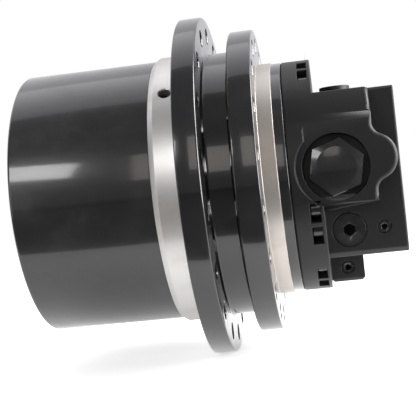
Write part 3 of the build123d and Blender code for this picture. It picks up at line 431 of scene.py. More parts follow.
@dataclass(frozen=True)
class Steel(Finish):
    """Bare or blackened metal with machining marks."""

    colour: Triple = (0.5, 0.5, 0.5)
    dark: Triple = (0.35, 0.35, 0.35)
    roughness: float = 0.3
    metallic: float = 1.0
    grain: Triple = (900.0, 60.0, 60.0)
    grain_haze: float = 0.16
    tone_scale: float = 45.0
    tone_span: Span = (0.3, 0.7)
    depth: float = 0.00002

    def dress(self, graph: Graph, place: Value, sockets: Any) -> None:
        """Feed the shader with two tones and a fine grain.

        Args:
            graph: the material's graph.
            place: the Object coordinates.
            sockets: the shader's inputs.
        """
        marks = graph.stretched_noise(place, self.grain, detail=3.0, roughness=0.65)
        tone = graph.noise(place, self.tone_scale, detail=3.0).step(*self.tone_span)
        self.feed(
            graph, sockets,
            Base_Color=graph.mix(tone, rgba(self.colour), rgba(self.dark)),
            Metallic=self.metallic,
            Roughness=self.roughness + marks * self.grain_haze,
            Normal=self.bump(graph, marks, self.depth),
        )


@dataclass(frozen=True)
class Soft(Finish):
    """Rubber or fibre lining: matt, mottled and slightly rough."""

    colour: Triple = (0.02, 0.02, 0.02)
    light: Triple = (0.04, 0.04, 0.04)
    roughness: float = 0.6
    scale: float = 300.0
    grain_haze: float = 0.2
    tone_span: Span = (0.35, 0.7)
    depth: float = 0.00005

    def dress(self, graph: Graph, place: Value, sockets: Any) -> None:
        """Feed the shader with a mottled colour and a fine bump.

        Args:
            graph: the material's graph.
            place: the Object coordinates.
            sockets: the shader's inputs.
        """
        grain = graph.noise(place, self.scale, detail=4.0, roughness=0.7)
        tone = grain.step(*self.tone_span)
        self.feed(
            graph, sockets,
            Base_Color=graph.mix(tone, rgba(self.colour), rgba(self.light)),
            Roughness=self.roughness + grain * self.grain_haze,
            Normal=self.bump(graph, grain, self.depth),
        )


class Coat(Enum):
    """The finishes of the drive, by the piece that they go on."""

    DRUM = BlackPaint("drum_paint", roughness=0.3, haze=0.14, dust=0.014, coat=1.0, coat_roughness=0.1)
    SPROCKET_HUB = BlackPaint(
        "sprocket_hub_paint", roughness=0.2, haze=0.08, coat=0.8,
        bands=((-92.0, -65.15, 125.3),), steel=(0.8, 0.79, 0.78), steel_roughness=0.36,
    )
    FRAME_HUB = BlackPaint(
        "frame_hub_paint", roughness=0.18, haze=0.08, coat=0.8,
        bands=((0.15, 13.6, 108.4), (-100.0, -24.0, 95.0)), steel=(0.66, 0.62, 0.58), steel_roughness=0.4,
    )
    COVER = BlackPaint(
        "cover_paint", colour=(0.006, 0.006, 0.0068), roughness=0.1, haze=0.05, dust=0.004, coat=1.0,
        peel=0.00006,
    )
    PLUG = BlackPaint(
        "plug_paint", colour=(0.011, 0.011, 0.012), roughness=0.2, haze=0.08, dust=0.008, coat=0.6,
    )
    SCREW = Steel(
        "screw_black_oxide", (0.03, 0.03, 0.032), (0.018, 0.018, 0.019), roughness=0.32, metallic=0.6,
    )
    GEAR = Steel("gear_ground_steel", (0.42, 0.42, 0.43), (0.3, 0.3, 0.31), roughness=0.28)
    BEARING = Steel("bearing_bright_steel", (0.68, 0.68, 0.69), (0.58, 0.58, 0.6), roughness=0.14)
    MACHINED = Steel("turned_motor_steel", (0.54, 0.54, 0.54), (0.42, 0.42, 0.42), roughness=0.26)
    BRONZE = Steel("bearing_bronze", (0.6, 0.4, 0.17), (0.46, 0.29, 0.12), roughness=0.28)
    RUBBER = Soft("seal_nitrile")
    LINING = Soft("brake_lining", (0.16, 0.11, 0.07), (0.24, 0.17, 0.11), roughness=0.75, scale=900.0)


SLOT_COATS = {
    "screw_black": Coat.SCREW,
    "gear_steel": Coat.GEAR,
    "bearing_steel": Coat.BEARING,
    "machined_steel": Coat.MACHINED,
    "bronze": Coat.BRONZE,
    "seal_rubber": Coat.RUBBER,
    "friction_lining": Coat.LINING,
    "case_paint": Coat.DRUM,
    "cover_paint": Coat.COVER,
}
NODE_SLOTS = {part["node"]: part["material_slot"] for part in frame["record"]["subparts"]}
NODE_BODIES = {
    node: body for body, nodes in frame["record"]["behaviour"]["bodies"].items() for node in nodes
}


def rounded(corners: Iterable[Span | Triple], steps: int = 4) -> Outline:
    """Round the corners of a closed outline.

    Args:
        corners: (x, radius) or (x, radius, rounding) in mm, in order round the outline.
        steps: facets of each rounding.

    Returns:
        The outline's points in mm.
    """
    given = [(Vector(c[:2]), c[2] if len(c) > 2 else 0.0) for c in corners]
    points: Outline = []
    for index, (corner, size) in enumerate(given):
        if not size:
            points.append((corner.x, corner.y))
            continue
        back = (given[index - 1][0] - corner).normalized()
        ahead = (given[(index + 1) % len(given)][0] - corner).normalized()
        half = acos(max(-1.0, min(1.0, back.dot(ahead)))) / 2
        start = corner + back * (size / tan(half))
        centre = corner + (back + ahead).normalized() * (size / sin(half))
        arm = start - centre
        end = corner + ahead * (size / tan(half)) - centre
        sweep = arm.angle_signed(end)
        for step in range(steps + 1):
            turned = arm.copy()
            turned.rotate(Matrix.Rotation(-sweep * step / steps, 2))
            points.append(tuple(centre + turned))
    return points


def linked(name: str, data: bpy.types.ID) -> bpy.types.Object:
    """Put new data into the scene.

    Args:
        name: the object's name.
        data: its mesh, camera or light.

    Returns:
        The object.
    """
    made = bpy.data.objects.new(name, data)
    bpy.context.scene.collection.objects.link(made)
    return made


def discard(piece: bpy.types.Object) -> None:
    """Remove an object and its mesh.

    Args:
        piece: the object.
    """
    mesh = piece.data
    bpy.data.objects.remove(piece)
    bpy.data.meshes.remove(mesh)


def crease(piece: bpy.types.Object, sharp: float = CREASE_ANGLE) -> None:
    """Smooth a piece's faces, with creases past an angle in degrees."""
    piece.data.polygons.foreach_set("use_smooth", [True] * len(piece.data.polygons))
    piece.data.set_sharp_from_angle(angle=radians(sharp))


def keep(piece: bpy.types.Object) -> None:
    """Turn a piece with its modifiers into a plain mesh.

    Args:
        piece: the object, changed in place.
    """
    bpy.context.view_layer.update()
    graph = bpy.context.evaluated_depsgraph_get()
    mesh = bpy.data.meshes.new_from_object(piece.evaluated_get(graph), depsgraph=graph)
    piece.modifiers.clear()
    old = piece.data
    piece.data = mesh
    bpy.data.meshes.remove(old)
    mesh.name = piece.name


def new_object(name: str, bm: bmesh.types.BMesh, sharp: float = CREASE_ANGLE) -> bpy.types.Object:
    """Close a mesh into an object with smooth faces and sharp creases.

    Args:
        name: the object's name.
        bm: the mesh in metres; it is freed.
        sharp: the angle in degrees past which an edge is a crease.

    Returns:
        The object, linked to the scene.
    """
    bmesh.ops.remove_doubles(bm, verts=bm.verts, dist=WELD_GAP)
    bmesh.ops.recalc_face_normals(bm, faces=bm.faces)
    mesh = bpy.data.meshes.new(name)
    bm.to_mesh(mesh)
    bm.free()
    made = linked(name, mesh)
    crease(made, sharp)
    return made


def skin(bm: bmesh.types.BMesh, loops: Sequence[Sequence[Vector]],
         closed: bool) -> list[list[bmesh.types.BMVert]]:
    """Lay faces between closed loops of equal length.

    Args:
        bm: the mesh in metres.
        loops: points in mm, in the same order round each loop.
        closed: whether the last loop joins the first.

    Returns:
        The points in the mesh, loop by loop.
    """
    rings = [[bm.verts.new(point * MM) for point in loop] for loop in loops]
    for first, second in zip(rings, rings[1:] + rings[:1] if closed else rings[1:]):
        for index in range(len(first)):
            after = (index + 1) % len(first)
            bm.faces.new((first[index], first[after], second[after], second[index]))
    return rings


def strips(name: str, loops: Sequence[Sequence[Vector]]) -> bpy.types.Object:
    """Join closed loops of equal length into one closed skin, the last back to the first.

    Args:
        name: the object's name.
        loops: points in mm, in the same order round each loop.

    Returns:
        The object.
    """
    bm = bmesh.new()
    skin(bm, loops, closed=True)
    bmesh.ops.dissolve_degenerate(bm, edges=bm.edges, dist=THIN_EDGE)
    return new_object(name, bm)


def circle(x: float, radius: float, count: int) -> list[Vector]:
    """Points round the drive axis, in mm."""
    angles = [2 * pi * index / count for index in range(count)]
    return [Vector((x, radius * cos(angle), radius * sin(angle))) for angle in angles]


def revolved(name: str, outline: Outline, count: int = ROUND_SEGMENTS) -> bpy.types.Object:
    """Turn a closed (x, radius) outline in mm about the drive axis."""
    return strips(name, [circle(x, max(radius, 0.0), count) for x, radius in outline])


def merged(node: str, name: str) -> bpy.types.Object:
    """A closed copy of a CAD node's loose triangles, with flat faces made whole.

    Args:
        node: the CAD node.
        name: the copy's name.

    Returns:
        The copy.
    """
    bm = bmesh.new()
    bm.from_mesh(frame["nodes"][node].data)
    bmesh.ops.remove_doubles(bm, verts=bm.verts, dist=CAD_GAP)
    bmesh.ops.dissolve_limit(bm, angle_limit=radians(FLAT_ANGLE), verts=bm.verts, edges=bm.edges)
    return new_object(name, bm)


def seats(name: str, places: Sequence[Seat]) -> bpy.types.Object:
    """A mesh of loose points, each with the aim of what sits on it.

    Args:
        name: the object's name.
        places: points in mm with their aims.

    Returns:
        The object.
    """
    mesh = bpy.data.meshes.new(name)
    mesh.from_pydata([place * MM for place, _ in places], [], [])
    aim = mesh.attributes.new("aim", "FLOAT_VECTOR", "POINT")
    aim.data.foreach_set("vector", [number for _, way in places for number in way])
    return linked(name, mesh)


def settle(piece: bpy.types.Object, node: str, coat: Coat | None = None) -> None:
    """Give a finished piece its material, body and place in the frame.

    Args:
        piece: the finished object.
        node: the CAD node that it stands for.
        coat: its finish, or the usual one of the node's slot.
    """
    coat = coat or SLOT_COATS[NODE_SLOTS[node]]
    piece.data.materials.clear()
    piece.data.materials.append(coat.value.material())
    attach(piece, NODE_BODIES[node])
    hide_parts(node)
    LOG.info("%s stands for %s", piece.name, node)


class GeometryTree(Graph):
    """A Geometry Nodes tree with named inputs."""

    SOCKETS = {"int": "NodeSocketInt", "float": "NodeSocketFloat", "object": "NodeSocketObject",
               "material": "NodeSocketMaterial"}

    def __init__(self, name: str, **inputs: str) -> None:
        """Make the tree.

        Args:
            name: the tree's name.
            inputs: kind of socket by name, besides the geometry.
        """
        super().__init__(bpy.data.node_groups.new(name, "GeometryNodeTree"))
        self.sockets: dict[str, str] = {}
        self.tree.interface.new_socket("Geometry", in_out="INPUT", socket_type="NodeSocketGeometry")
        for key, kind in inputs.items():
            made = self.tree.interface.new_socket(key, in_out="INPUT", socket_type=self.SOCKETS[kind])
            self.sockets[key] = made.identifier
        self.tree.interface.new_socket("Geometry", in_out="OUTPUT", socket_type="NodeSocketGeometry")
        self.entry = self.tree.nodes.new("NodeGroupInput")

    def given(self, name: str) -> Value:
        """One of the tree's inputs."""
        return Value(self, self.entry.outputs[name])

    def vector(self, **parts: Any) -> Value:
        """A vector from its X, Y and Z."""
        return self.node("ShaderNodeCombineXYZ", None, parts)

    def moved(self, shape: Value, **change: Any) -> Value:
        """A shape after a Rotation and a Translation."""
        return self.node("GeometryNodeTransform", None, {"Geometry": shape, **change})

    def ring(self) -> Value:
        """Count points on a circle with the radius Circle."""
        sizes = {"Vertices": self.given("Count"), "Radius": self.given("Circle")}
        return self.node("GeometryNodeMeshCircle", None, sizes)

    def pattern(self) -> Value:
        """The mesh of the Fastener, as it lies in its own object."""
        given = {"Object": self.given("Fastener")}
        return self.node("GeometryNodeObjectInfo", {"transform_space": "ORIGINAL"}, given, output="Geometry")

    def placed(self, points: Value, instance: Value, **change: Any) -> Value:
        """An instance on each point, after a Rotation."""
        inputs = {"Points": points, "Instance": instance, **change}
        return self.node("GeometryNodeInstanceOnPoints", None, inputs)

    def close(self, shape: Value) -> None:
        """End the tree in real geometry with the finish on it.

        Args:
            shape: what the tree has made.
        """
        real = self.node("GeometryNodeRealizeInstances", None, {0: shape})
        dressed = self.node("GeometryNodeSetMaterial", None, {0: real, "Material": self.given("Finish")})
        self.node("NodeGroupOutput", None, {0: dressed})

    def apply(self, piece: bpy.types.Object, **values: Any) -> None:
        """Run the tree on a piece and keep the result as its mesh.

        Args:
            piece: the object that the tree starts from.
            values: by input name.
        """
        modifier = piece.modifiers.new(self.tree.name, "NODES")
        modifier.node_group = self.tree
        for name, value in values.items():
            modifier[self.sockets[name]] = value
        keep(piece)
        crease(piece)


def bolt_hole_tree() -> GeometryTree:
    """Make the tree that cuts a circle of holes along the drive axis, countersunk at both ends.

    Returns:
        The tree.
    """
    tree = GeometryTree(
        "bolt_holes", Count="int", Circle="float", Hole="float", Countersink="float", Start="float",
        End="float", Turn="float", Finish="material",
    )
    start, end, hole, sink = (tree.given(name) for name in ("Start", "End", "Hole", "Countersink"))
    drill = tree.node("GeometryNodeMeshCylinder", None, {
        "Vertices": HOLE_SIDES, "Radius": hole, "Depth": end - start + DRILL_OVERRUN})
    tools = [tree.moved(drill, Translation=tree.vector(Z=(start + end) * 0.5))]
    for face, bottom, top in ((start, 2.0, 0.0), (end, 0.0, 2.0)):
        cone = tree.node("GeometryNodeMeshCone", None, {
            "Vertices": HOLE_SIDES, "Radius Bottom": hole + sink * bottom,
            "Radius Top": hole + sink * top, "Depth": sink * 2.0})
        tools.append(tree.moved(cone, Translation=tree.vector(Z=face - sink)))
    ring = tree.moved(tree.ring(), Rotation=tree.vector(Z=tree.given("Turn")))
    cutters = []
    for tool in tools:
        real = tree.node("GeometryNodeRealizeInstances", None, {0: tree.placed(ring, tool)})
        cutters.append(tree.moved(real, Rotation=(0.0, pi / 2, 0.0)))
    cut = tree.node("GeometryNodeMeshBoolean", {"operation": "DIFFERENCE", "solver": "EXACT"}, {
        "Mesh 1": tree.given("Geometry"), "Mesh 2": cutters})
    tree.close(cut)
    return tree


def fastener_circle_tree() -> GeometryTree:
    """Make the tree that sets fasteners on a circle round the drive axis, facing out of the drum's end.

    Returns:
        The tree.
    """
    tree = GeometryTree(
        "fastener_circle", Fastener="object", Count="int", Circle="float", Station="float",
        Finish="material",
    )
    index = tree.node("GeometryNodeInputIndex")
    angle = tree.vector(Z=index * (2 * pi) / tree.given("Count"))
    placed = tree.placed(tree.ring(), tree.pattern(), Rotation=angle)
    shift = tree.vector(X=tree.given("Station"))
    tree.close(tree.moved(placed, Rotation=(0.0, -pi / 2, 0.0), Translation=shift))
    return tree


def seated_tree() -> GeometryTree:
    """Make the tree that sets a fastener on each point of a mesh, along the point's own aim.

    Returns:
        The tree.
    """
    tree = GeometryTree("seated_fasteners", Fastener="object", Finish="material")
    aim = tree.node("GeometryNodeInputNamedAttribute", {"data_type": "FLOAT_VECTOR"}, {"Name": "aim"})
    facing = tree.node("FunctionNodeAlignRotationToVector", {"axis": "Z"}, {"Vector": aim})
    tree.close(tree.placed(tree.given("Geometry"), tree.pattern(), Rotation=facing))
    return tree


@dataclass(frozen=True)
class Fastener:
    """A round or hexagon body with a hexagon socket, along its own Z with the seat at 0. Sizes in mm."""

    name: str
    radius: float
    top: float
    bevel: float
    bottom: float = 0.0
    socket: float = 0.0
    socket_depth: float = 0.0
    hexagon: float = 0.0
    face: float = 0.0
    turn: float = 0.0
    count: int = 48
    crown_angle: float = 22.0
    crease_angle: float = 26.0
    mouth_margin: float = 0.4
    mouth_depth: float = 0.35
    drill_tip: float = 0.2
    bevel_steps: tuple[float, ...] = (0.0, 0.35, 0.7, 1.0)

    def angles(self) -> list[float]:
        """The angles of the points round the body."""
        return [2 * pi * index / self.count + radians(self.turn) for index in range(self.count)]

    def reach(self, flats: float, angle: float) -> float:
        """Distance from the middle to a hexagon's outline at an angle."""
        off = (angle - radians(self.turn) + pi / 6) % (pi / 3) - pi / 6
        return flats / 2 / cos(off)

    def ring(self, z: float, size: float, flats: float = 0.0) -> list[Vector]:
        """Points round the body.

        Args:
            z: their height.
            size: the radius of a circle.
            flats: the width of a hexagon that the circle trims, where there is one.

        Returns:
            The points.
        """
        points = []
        for angle in self.angles():
            radius = min(size, self.reach(flats, angle)) if flats else size
            points.append(Vector((radius * cos(angle), radius * sin(angle), z)))
        return points

    def crown(self, trim: float) -> list[Vector]:
        """Points where a hexagon's sides meet the cone of its face.

        Args:
            trim: how far they are moved in along the cone or, below 0, down along the sides.

        Returns:
            The points.
        """
        slope = tan(radians(self.crown_angle))
        points = []
        for angle in self.angles():
            radius = self.reach(self.hexagon, angle) - max(trim, 0.0)
            height = self.top - (radius - self.face) * slope + min(trim, 0.0)
            points.append(Vector((radius * cos(angle), radius * sin(angle), height)))
        return points

    def rings(self) -> list[list[Vector]]:
        """Draw the body from the middle of the bottom, over the sides, to the middle of the top.

        Returns:
            Rings of points.
        """
        wide = self.hexagon or self.radius * 3
        rings = [
            self.ring(self.bottom, 0.0),
            self.ring(self.bottom, self.radius - self.bevel),
            self.ring(self.bottom + self.bevel, self.radius),
        ]
        if self.hexagon:
            rings += [
                self.ring(0.0, self.radius),
                self.ring(0.0, wide, self.hexagon),
                self.crown(-self.bevel),
                self.crown(self.bevel),
                self.ring(self.top - 0.3 * self.bevel, self.face + 0.5 * self.bevel),
                self.ring(self.top, self.face - 0.5 * self.bevel),
            ]
        else:
            for inset in self.bevel_steps:
                drop = self.bevel * (1.0 - inset)
                rings.append(self.ring(self.top - drop, self.radius - self.bevel * inset))
        if not self.socket:
            return rings + [self.ring(self.top, 0.0)]
        floor = self.top - self.socket_depth
        return rings + [
            self.ring(self.top, self.socket / 2 * CORNER_RATIO + self.mouth_margin),
            self.ring(self.top - self.mouth_depth, wide, self.socket),
            self.ring(floor, wide, self.socket),
            self.ring(floor - self.socket * self.drill_tip, 0.0),
        ]

    def build(self) -> bpy.types.Object:
        """Make the fastener, with the inside of its socket marked for painted shade.

        Returns:
            A hidden pattern for the trees.
        """
        bm = bmesh.new()
        # Painted shade: the socket's deepest rings are marked, so the paint darkens the hole there.
        cavity = bm.verts.layers.float.new("cavity")
        verts = skin(bm, self.rings(), closed=False)
        for ring in verts[-2:] if self.socket else []:
            for vert in ring:
                vert[cavity] = 1.0
        bmesh.ops.dissolve_degenerate(bm, edges=bm.edges, dist=THIN_EDGE)
        made = new_object(self.name, bm, self.crease_angle)
        made.hide_render = True
        made.hide_set(True)
        return made


@dataclass(frozen=True)
class HoleCircle:
    """A circle of countersunk holes along the drive axis. Sizes in mm, turn in degrees from straight down."""

    count: int
    radius: float
    hole: float
    start: float
    end: float
    sink: float = 0.8
    turn: float = 0.0


@dataclass
class Workshop:
    """The trees that the sub-assemblies share."""

    holes: GeometryTree = field(default_factory=bolt_hole_tree)
    ring: GeometryTree = field(default_factory=fastener_circle_tree)
    seated: GeometryTree = field(default_factory=seated_tree)

    def drill(self, piece: bpy.types.Object, coat: Coat, cut: HoleCircle) -> None:
        """Cut a circle of holes.

        Args:
            piece: what is drilled.
            coat: its finish.
            cut: the holes.
        """
        self.holes.apply(
            piece, Count=cut.count, Circle=cut.radius * MM, Hole=cut.hole * MM, Countersink=cut.sink * MM,
            Start=cut.start * MM, End=cut.end * MM, Turn=radians(cut.turn), Finish=coat.value.material(),
        )

    def circle_of(self, name: str, fastener: Fastener, coat: Coat, count: int, radius: float,
                  station: float) -> bpy.types.Object:
        """A circle of fasteners as one piece.

        Args:
            name: the piece's name.
            fastener: what is repeated.
            coat: its finish.
            count: how many there are.
            radius: of the circle, in mm.
            station: where their seats lie along the drive axis, in mm.

        Returns:
            The piece.
        """
        pattern = fastener.build()
        made = seats(name, [(Vector((station, 0.0, 0.0)), Vector((1.0, 0.0, 0.0)))])
        self.ring.apply(
            made, Fastener=pattern, Count=count, Circle=radius * MM, Station=station * MM,
            Finish=coat.value.material(),
        )
        discard(pattern)
        return made

    def seat(self, name: str, fastener: Fastener, coat: Coat, places: Sequence[Seat]) -> bpy.types.Object:
        """Fasteners on given seats as one piece.

        Args:
            name: the piece's name.
            fastener: what is repeated.
            coat: its finish.
            places: the seats in mm.

        Returns:
            The piece.
        """
        pattern = fastener.build()
        made = seats(name, places)
        self.seated.apply(made, Fastener=pattern, Finish=coat.value.material())
        discard(pattern)
        return made


@dataclass
class GearCase:
    """The turning case: ring gear drum, sprocket hub and end cover. Sizes in mm.

    lock_cuts gives the inner radius, outer radius, start and end of each cut of the lock screw's hole.
    """

    drum_end: float = -215.5
    drum_face: float = -92.0
    drum_radius: float = 122.0
    drum_round: float = 2.5
    seat: float = -202.0
    seat_radius: float = 114.05
    ring_teeth: int = 50
    gear_module: float = 4.0
    pressure_angle: float = 25.0
    addendum: float = 0.8
    dedendum: float = 1.0
    backlash: float = 0.5
    planet_teeth: int = 20
    ring_end: float = -107.5
    bearing_end: float = -86.0
    bearing_mid: float = -66.0
    bearing_start: float = -46.0
    bearing_radius: float = 100.05
    spigot_radius: float = 113.0
    pilot_end: float = -87.0
    pilot_radius: float = 125.0
    flange_face: float = -65.0
    flange_back: float = -45.0
    flange_radius: float = 157.5
    bolt_circle: float = 141.0
    bolt_count: int = 18
    bolt_hole: float = 7.5
    neck_radius: float = 123.0
    neck_end: float = -23.0
    seal_radius: float = 103.2
    seal_floor: float = -42.0
    lip_radius: float = 96.0
    cover_face: float = -214.0
    cover_radius: float = 114.0
    boss_radius: float = 42.0
    dish: float = 2.5
    dish_radius: float = 96.0
    screw_circle: float = 107.5
    screw_count: int = 16
    plug_circle: float = 66.0
    plug_count: int = 3
    button_radius: float = 12.05
    button_seat: float = 5.0
    head_hole: float = 5.05
    head_depth: float = 6.0
    screw_hole: float = 3.05
    plug_hole: float = 9.05
    cover_sink: float = 0.4
    screw_turn: float = 90.0
    plug_turn: float = 180.0
    spigot_gap: float = 0.05
    face_gap: float = 0.1
    lock_cuts: tuple[tuple[float, ...], ...] = ((5.3, 5.3, 108.0, 127.0), (4.3, 8.3, 123.0, 127.0))
    lock_sides: int = 40

    def tooth_points(self, x: float) -> list[Vector]:
        """Draw the outline of the ring gear's tooth spaces, six points to a tooth.

        Args:
            x: the station.

        Returns:
            The points.
        """
        roll = radians(self.pressure_angle)
        pitch = self.gear_module * self.ring_teeth / 2
        tip = pitch - self.gear_module * self.addendum
        root = pitch + self.gear_module * self.dedendum
        turn = (self.planet_teeth + 1) * pi / self.ring_teeth
        points = []
        for tooth in range(self.ring_teeth):
            middle = turn + 2 * pi * tooth / self.ring_teeth
            for side, radii in ((-1, (tip, pitch, root)), (1, (root, pitch, tip))):
                for radius in radii:
                    here = acos(min(1.0, pitch * cos(roll) / radius))
                    half = pi / (2 * self.ring_teeth) + tan(roll) - roll - tan(here) + here
                    half += self.backlash / (4 * pitch)
                    angle = middle + side * half
                    points.append(Vector((x, radius * cos(angle), radius * sin(angle))))
        return points

    def round_points(self, x: float, radius: float) -> list[Vector]:
        """Draw a circle whose points lie at the same angles as the ring gear's.

        Args:
            x: the station.
            radius: the circle's radius.

        Returns:
            The points.
        """
        points = []
        for point in self.tooth_points(x):
            scale = radius / Vector((point.y, point.z)).length
            points.append(Vector((x, point.y * scale, point.z * scale)))
        return points

    def build_drum(self) -> bpy.types.Object:
        """Make the drum with its ring gear, from loops of equal length.

        Returns:
            The drum.
        """
        outer = rounded([
            (self.seat, self.seat_radius),
            (self.drum_end, self.seat_radius, 0.6),
            (self.drum_end, self.drum_radius, self.drum_round),
            (self.drum_face, self.drum_radius, 0.6),
            (self.drum_face, self.spigot_radius),
            (self.bearing_mid - self.face_gap, self.spigot_radius, 0.6),
            (self.bearing_mid - self.face_gap, self.bearing_radius, 0.6),
            (self.bearing_end, self.bearing_radius),
        ])
        tip = self.gear_module * (self.ring_teeth / 2 - self.addendum)
        loops = [self.round_points(x, r) for x, r in outer]
        loops += [self.round_points(self.bearing_end, tip), self.round_points(self.ring_end, tip)]
        loops += [self.tooth_points(self.ring_end), self.tooth_points(self.seat)]
        return strips("gear_drum", loops)

    def build_hub(self, shop: Workshop) -> bpy.types.Object:
        """Make the sprocket hub with its flange, pilot and neck, and drill it.

        Args:
            shop: the trees.

        Returns:
            The hub.
        """
        hub = revolved("sprocket_flange_hub", rounded([
            (self.drum_face, self.drum_radius, 0.5),
            (self.pilot_end, self.pilot_radius, 0.8),
            (self.flange_face, self.pilot_radius, 0.8),
            (self.flange_face, self.flange_radius, 1.4),
            (self.flange_back, self.flange_radius, 1.8),
            (self.flange_back, self.neck_radius, 3.0),
            (self.neck_end, self.neck_radius, 1.0),
            (self.neck_end, self.seal_radius, 1.0),
            (self.seal_floor, self.seal_radius, 1.0),
            (self.seal_floor, self.lip_radius),
            (self.bearing_start, self.lip_radius),
            (self.bearing_start, self.bearing_radius),
            (self.bearing_mid, self.bearing_radius),
            (self.bearing_mid, self.spigot_radius + self.spigot_gap),
            (self.drum_face, self.spigot_radius + self.spigot_gap),
        ]), FLANGE_SEGMENTS)
        shop.drill(hub, Coat.SPROCKET_HUB, HoleCircle(
            self.bolt_count, self.bolt_circle, self.bolt_hole, self.flange_face, self.flange_back))
        return hub

    def drill_lock_hole(self, hub: bpy.types.Object) -> None:
        """Cut the lock screw's radial hole, with a countersunk mouth, into the pilot.

        Args:
            hub: the sprocket hub.
        """
        low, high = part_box("drum_lock_screw")
        middle = (low + high) / 2
        way = Vector((0.0, middle.y, middle.z)).normalized()
        facing = way.to_track_quat("Z", "X").to_matrix().to_4x4()
        bm = bmesh.new()
        for size, mouth, start, end in self.lock_cuts:
            spot = Vector((middle.x, 0.0, 0.0)) + way * ((start + end) / 2 * MM)
            bmesh.ops.create_cone(
                bm, cap_ends=True, segments=self.lock_sides, radius1=size * MM, radius2=mouth * MM,
                depth=(end - start) * MM, matrix=Matrix.Translation(spot) @ facing,
            )
        cutter = new_object("lock_hole_cutter", bm)
        modifier = hub.modifiers.new("lock_hole", "BOOLEAN")
        modifier.object = cutter
        modifier.operation = "DIFFERENCE"
        modifier.solver = "EXACT"
        modifier.use_self = True
        keep(hub)
        crease(hub)
        discard(cutter)

    def build_cover(self, shop: Workshop) -> bpy.types.Object:
        """Make the end cover with its dish, and drill it for screws and plugs.

        Args:
            shop: the trees.

        Returns:
            The cover.
        """
        inner = self.seat - self.button_seat
        cover = revolved("case_end_cover", rounded([
            (self.cover_face, 0.0),
            (self.cover_face, self.boss_radius, 1.5),
            (self.cover_face + self.dish, self.boss_radius + self.dish, 1.5),
            (self.cover_face + self.dish, self.dish_radius - self.dish, 1.5),
            (self.cover_face, self.dish_radius, 1.5),
            (self.cover_face, self.cover_radius, 0.9),
            (self.seat, self.cover_radius),
            (self.seat, self.button_radius),
            (inner, self.button_radius),
            (inner, 0.0),
        ]))
        face, sink = self.cover_face, self.cover_sink
        screws, plugs = (self.screw_count, self.screw_circle), (self.plug_count, self.plug_circle)
        for cut in (
            HoleCircle(*screws, self.head_hole, face, face + self.head_depth, sink, self.screw_turn),
            HoleCircle(
                *screws, self.screw_hole, face + self.head_depth / 2, self.seat, sink, self.screw_turn,
            ),
            HoleCircle(*plugs, self.plug_hole, face, self.seat, sink, self.plug_turn),
        ):
            shop.drill(cover, Coat.DRUM, cut)
        return cover

    def build(self, shop: Workshop) -> None:
        """Make and settle every piece of the case that shows.

        Args:
            shop: the trees.
        """
        settle(self.build_drum(), "ring_gear_drum", Coat.DRUM)
        hub = self.build_hub(shop)
        self.drill_lock_hole(hub)
        settle(hub, "sprocket_hub", Coat.SPROCKET_HUB)
        settle(self.build_cover(shop), "end_cover", Coat.DRUM)
        screw = Fastener("end_screw", radius=5.0, top=6.0, bevel=0.5, socket=5.0, socket_depth=4.0)
        settle(shop.circle_of(
            "end_cover_socket_screws", screw, Coat.SCREW, self.screw_count, self.screw_circle,
            self.cover_face + self.head_depth), "end_cover_screws")
        plug = Fastener("oil_plug", radius=13.0, top=4.0, bevel=0.8, socket=10.0, socket_depth=6.0)
        settle(shop.circle_of(
            "case_oil_plugs", plug, Coat.SCREW, self.plug_count, self.plug_circle,
            self.cover_face + self.dish), "oil_plugs")


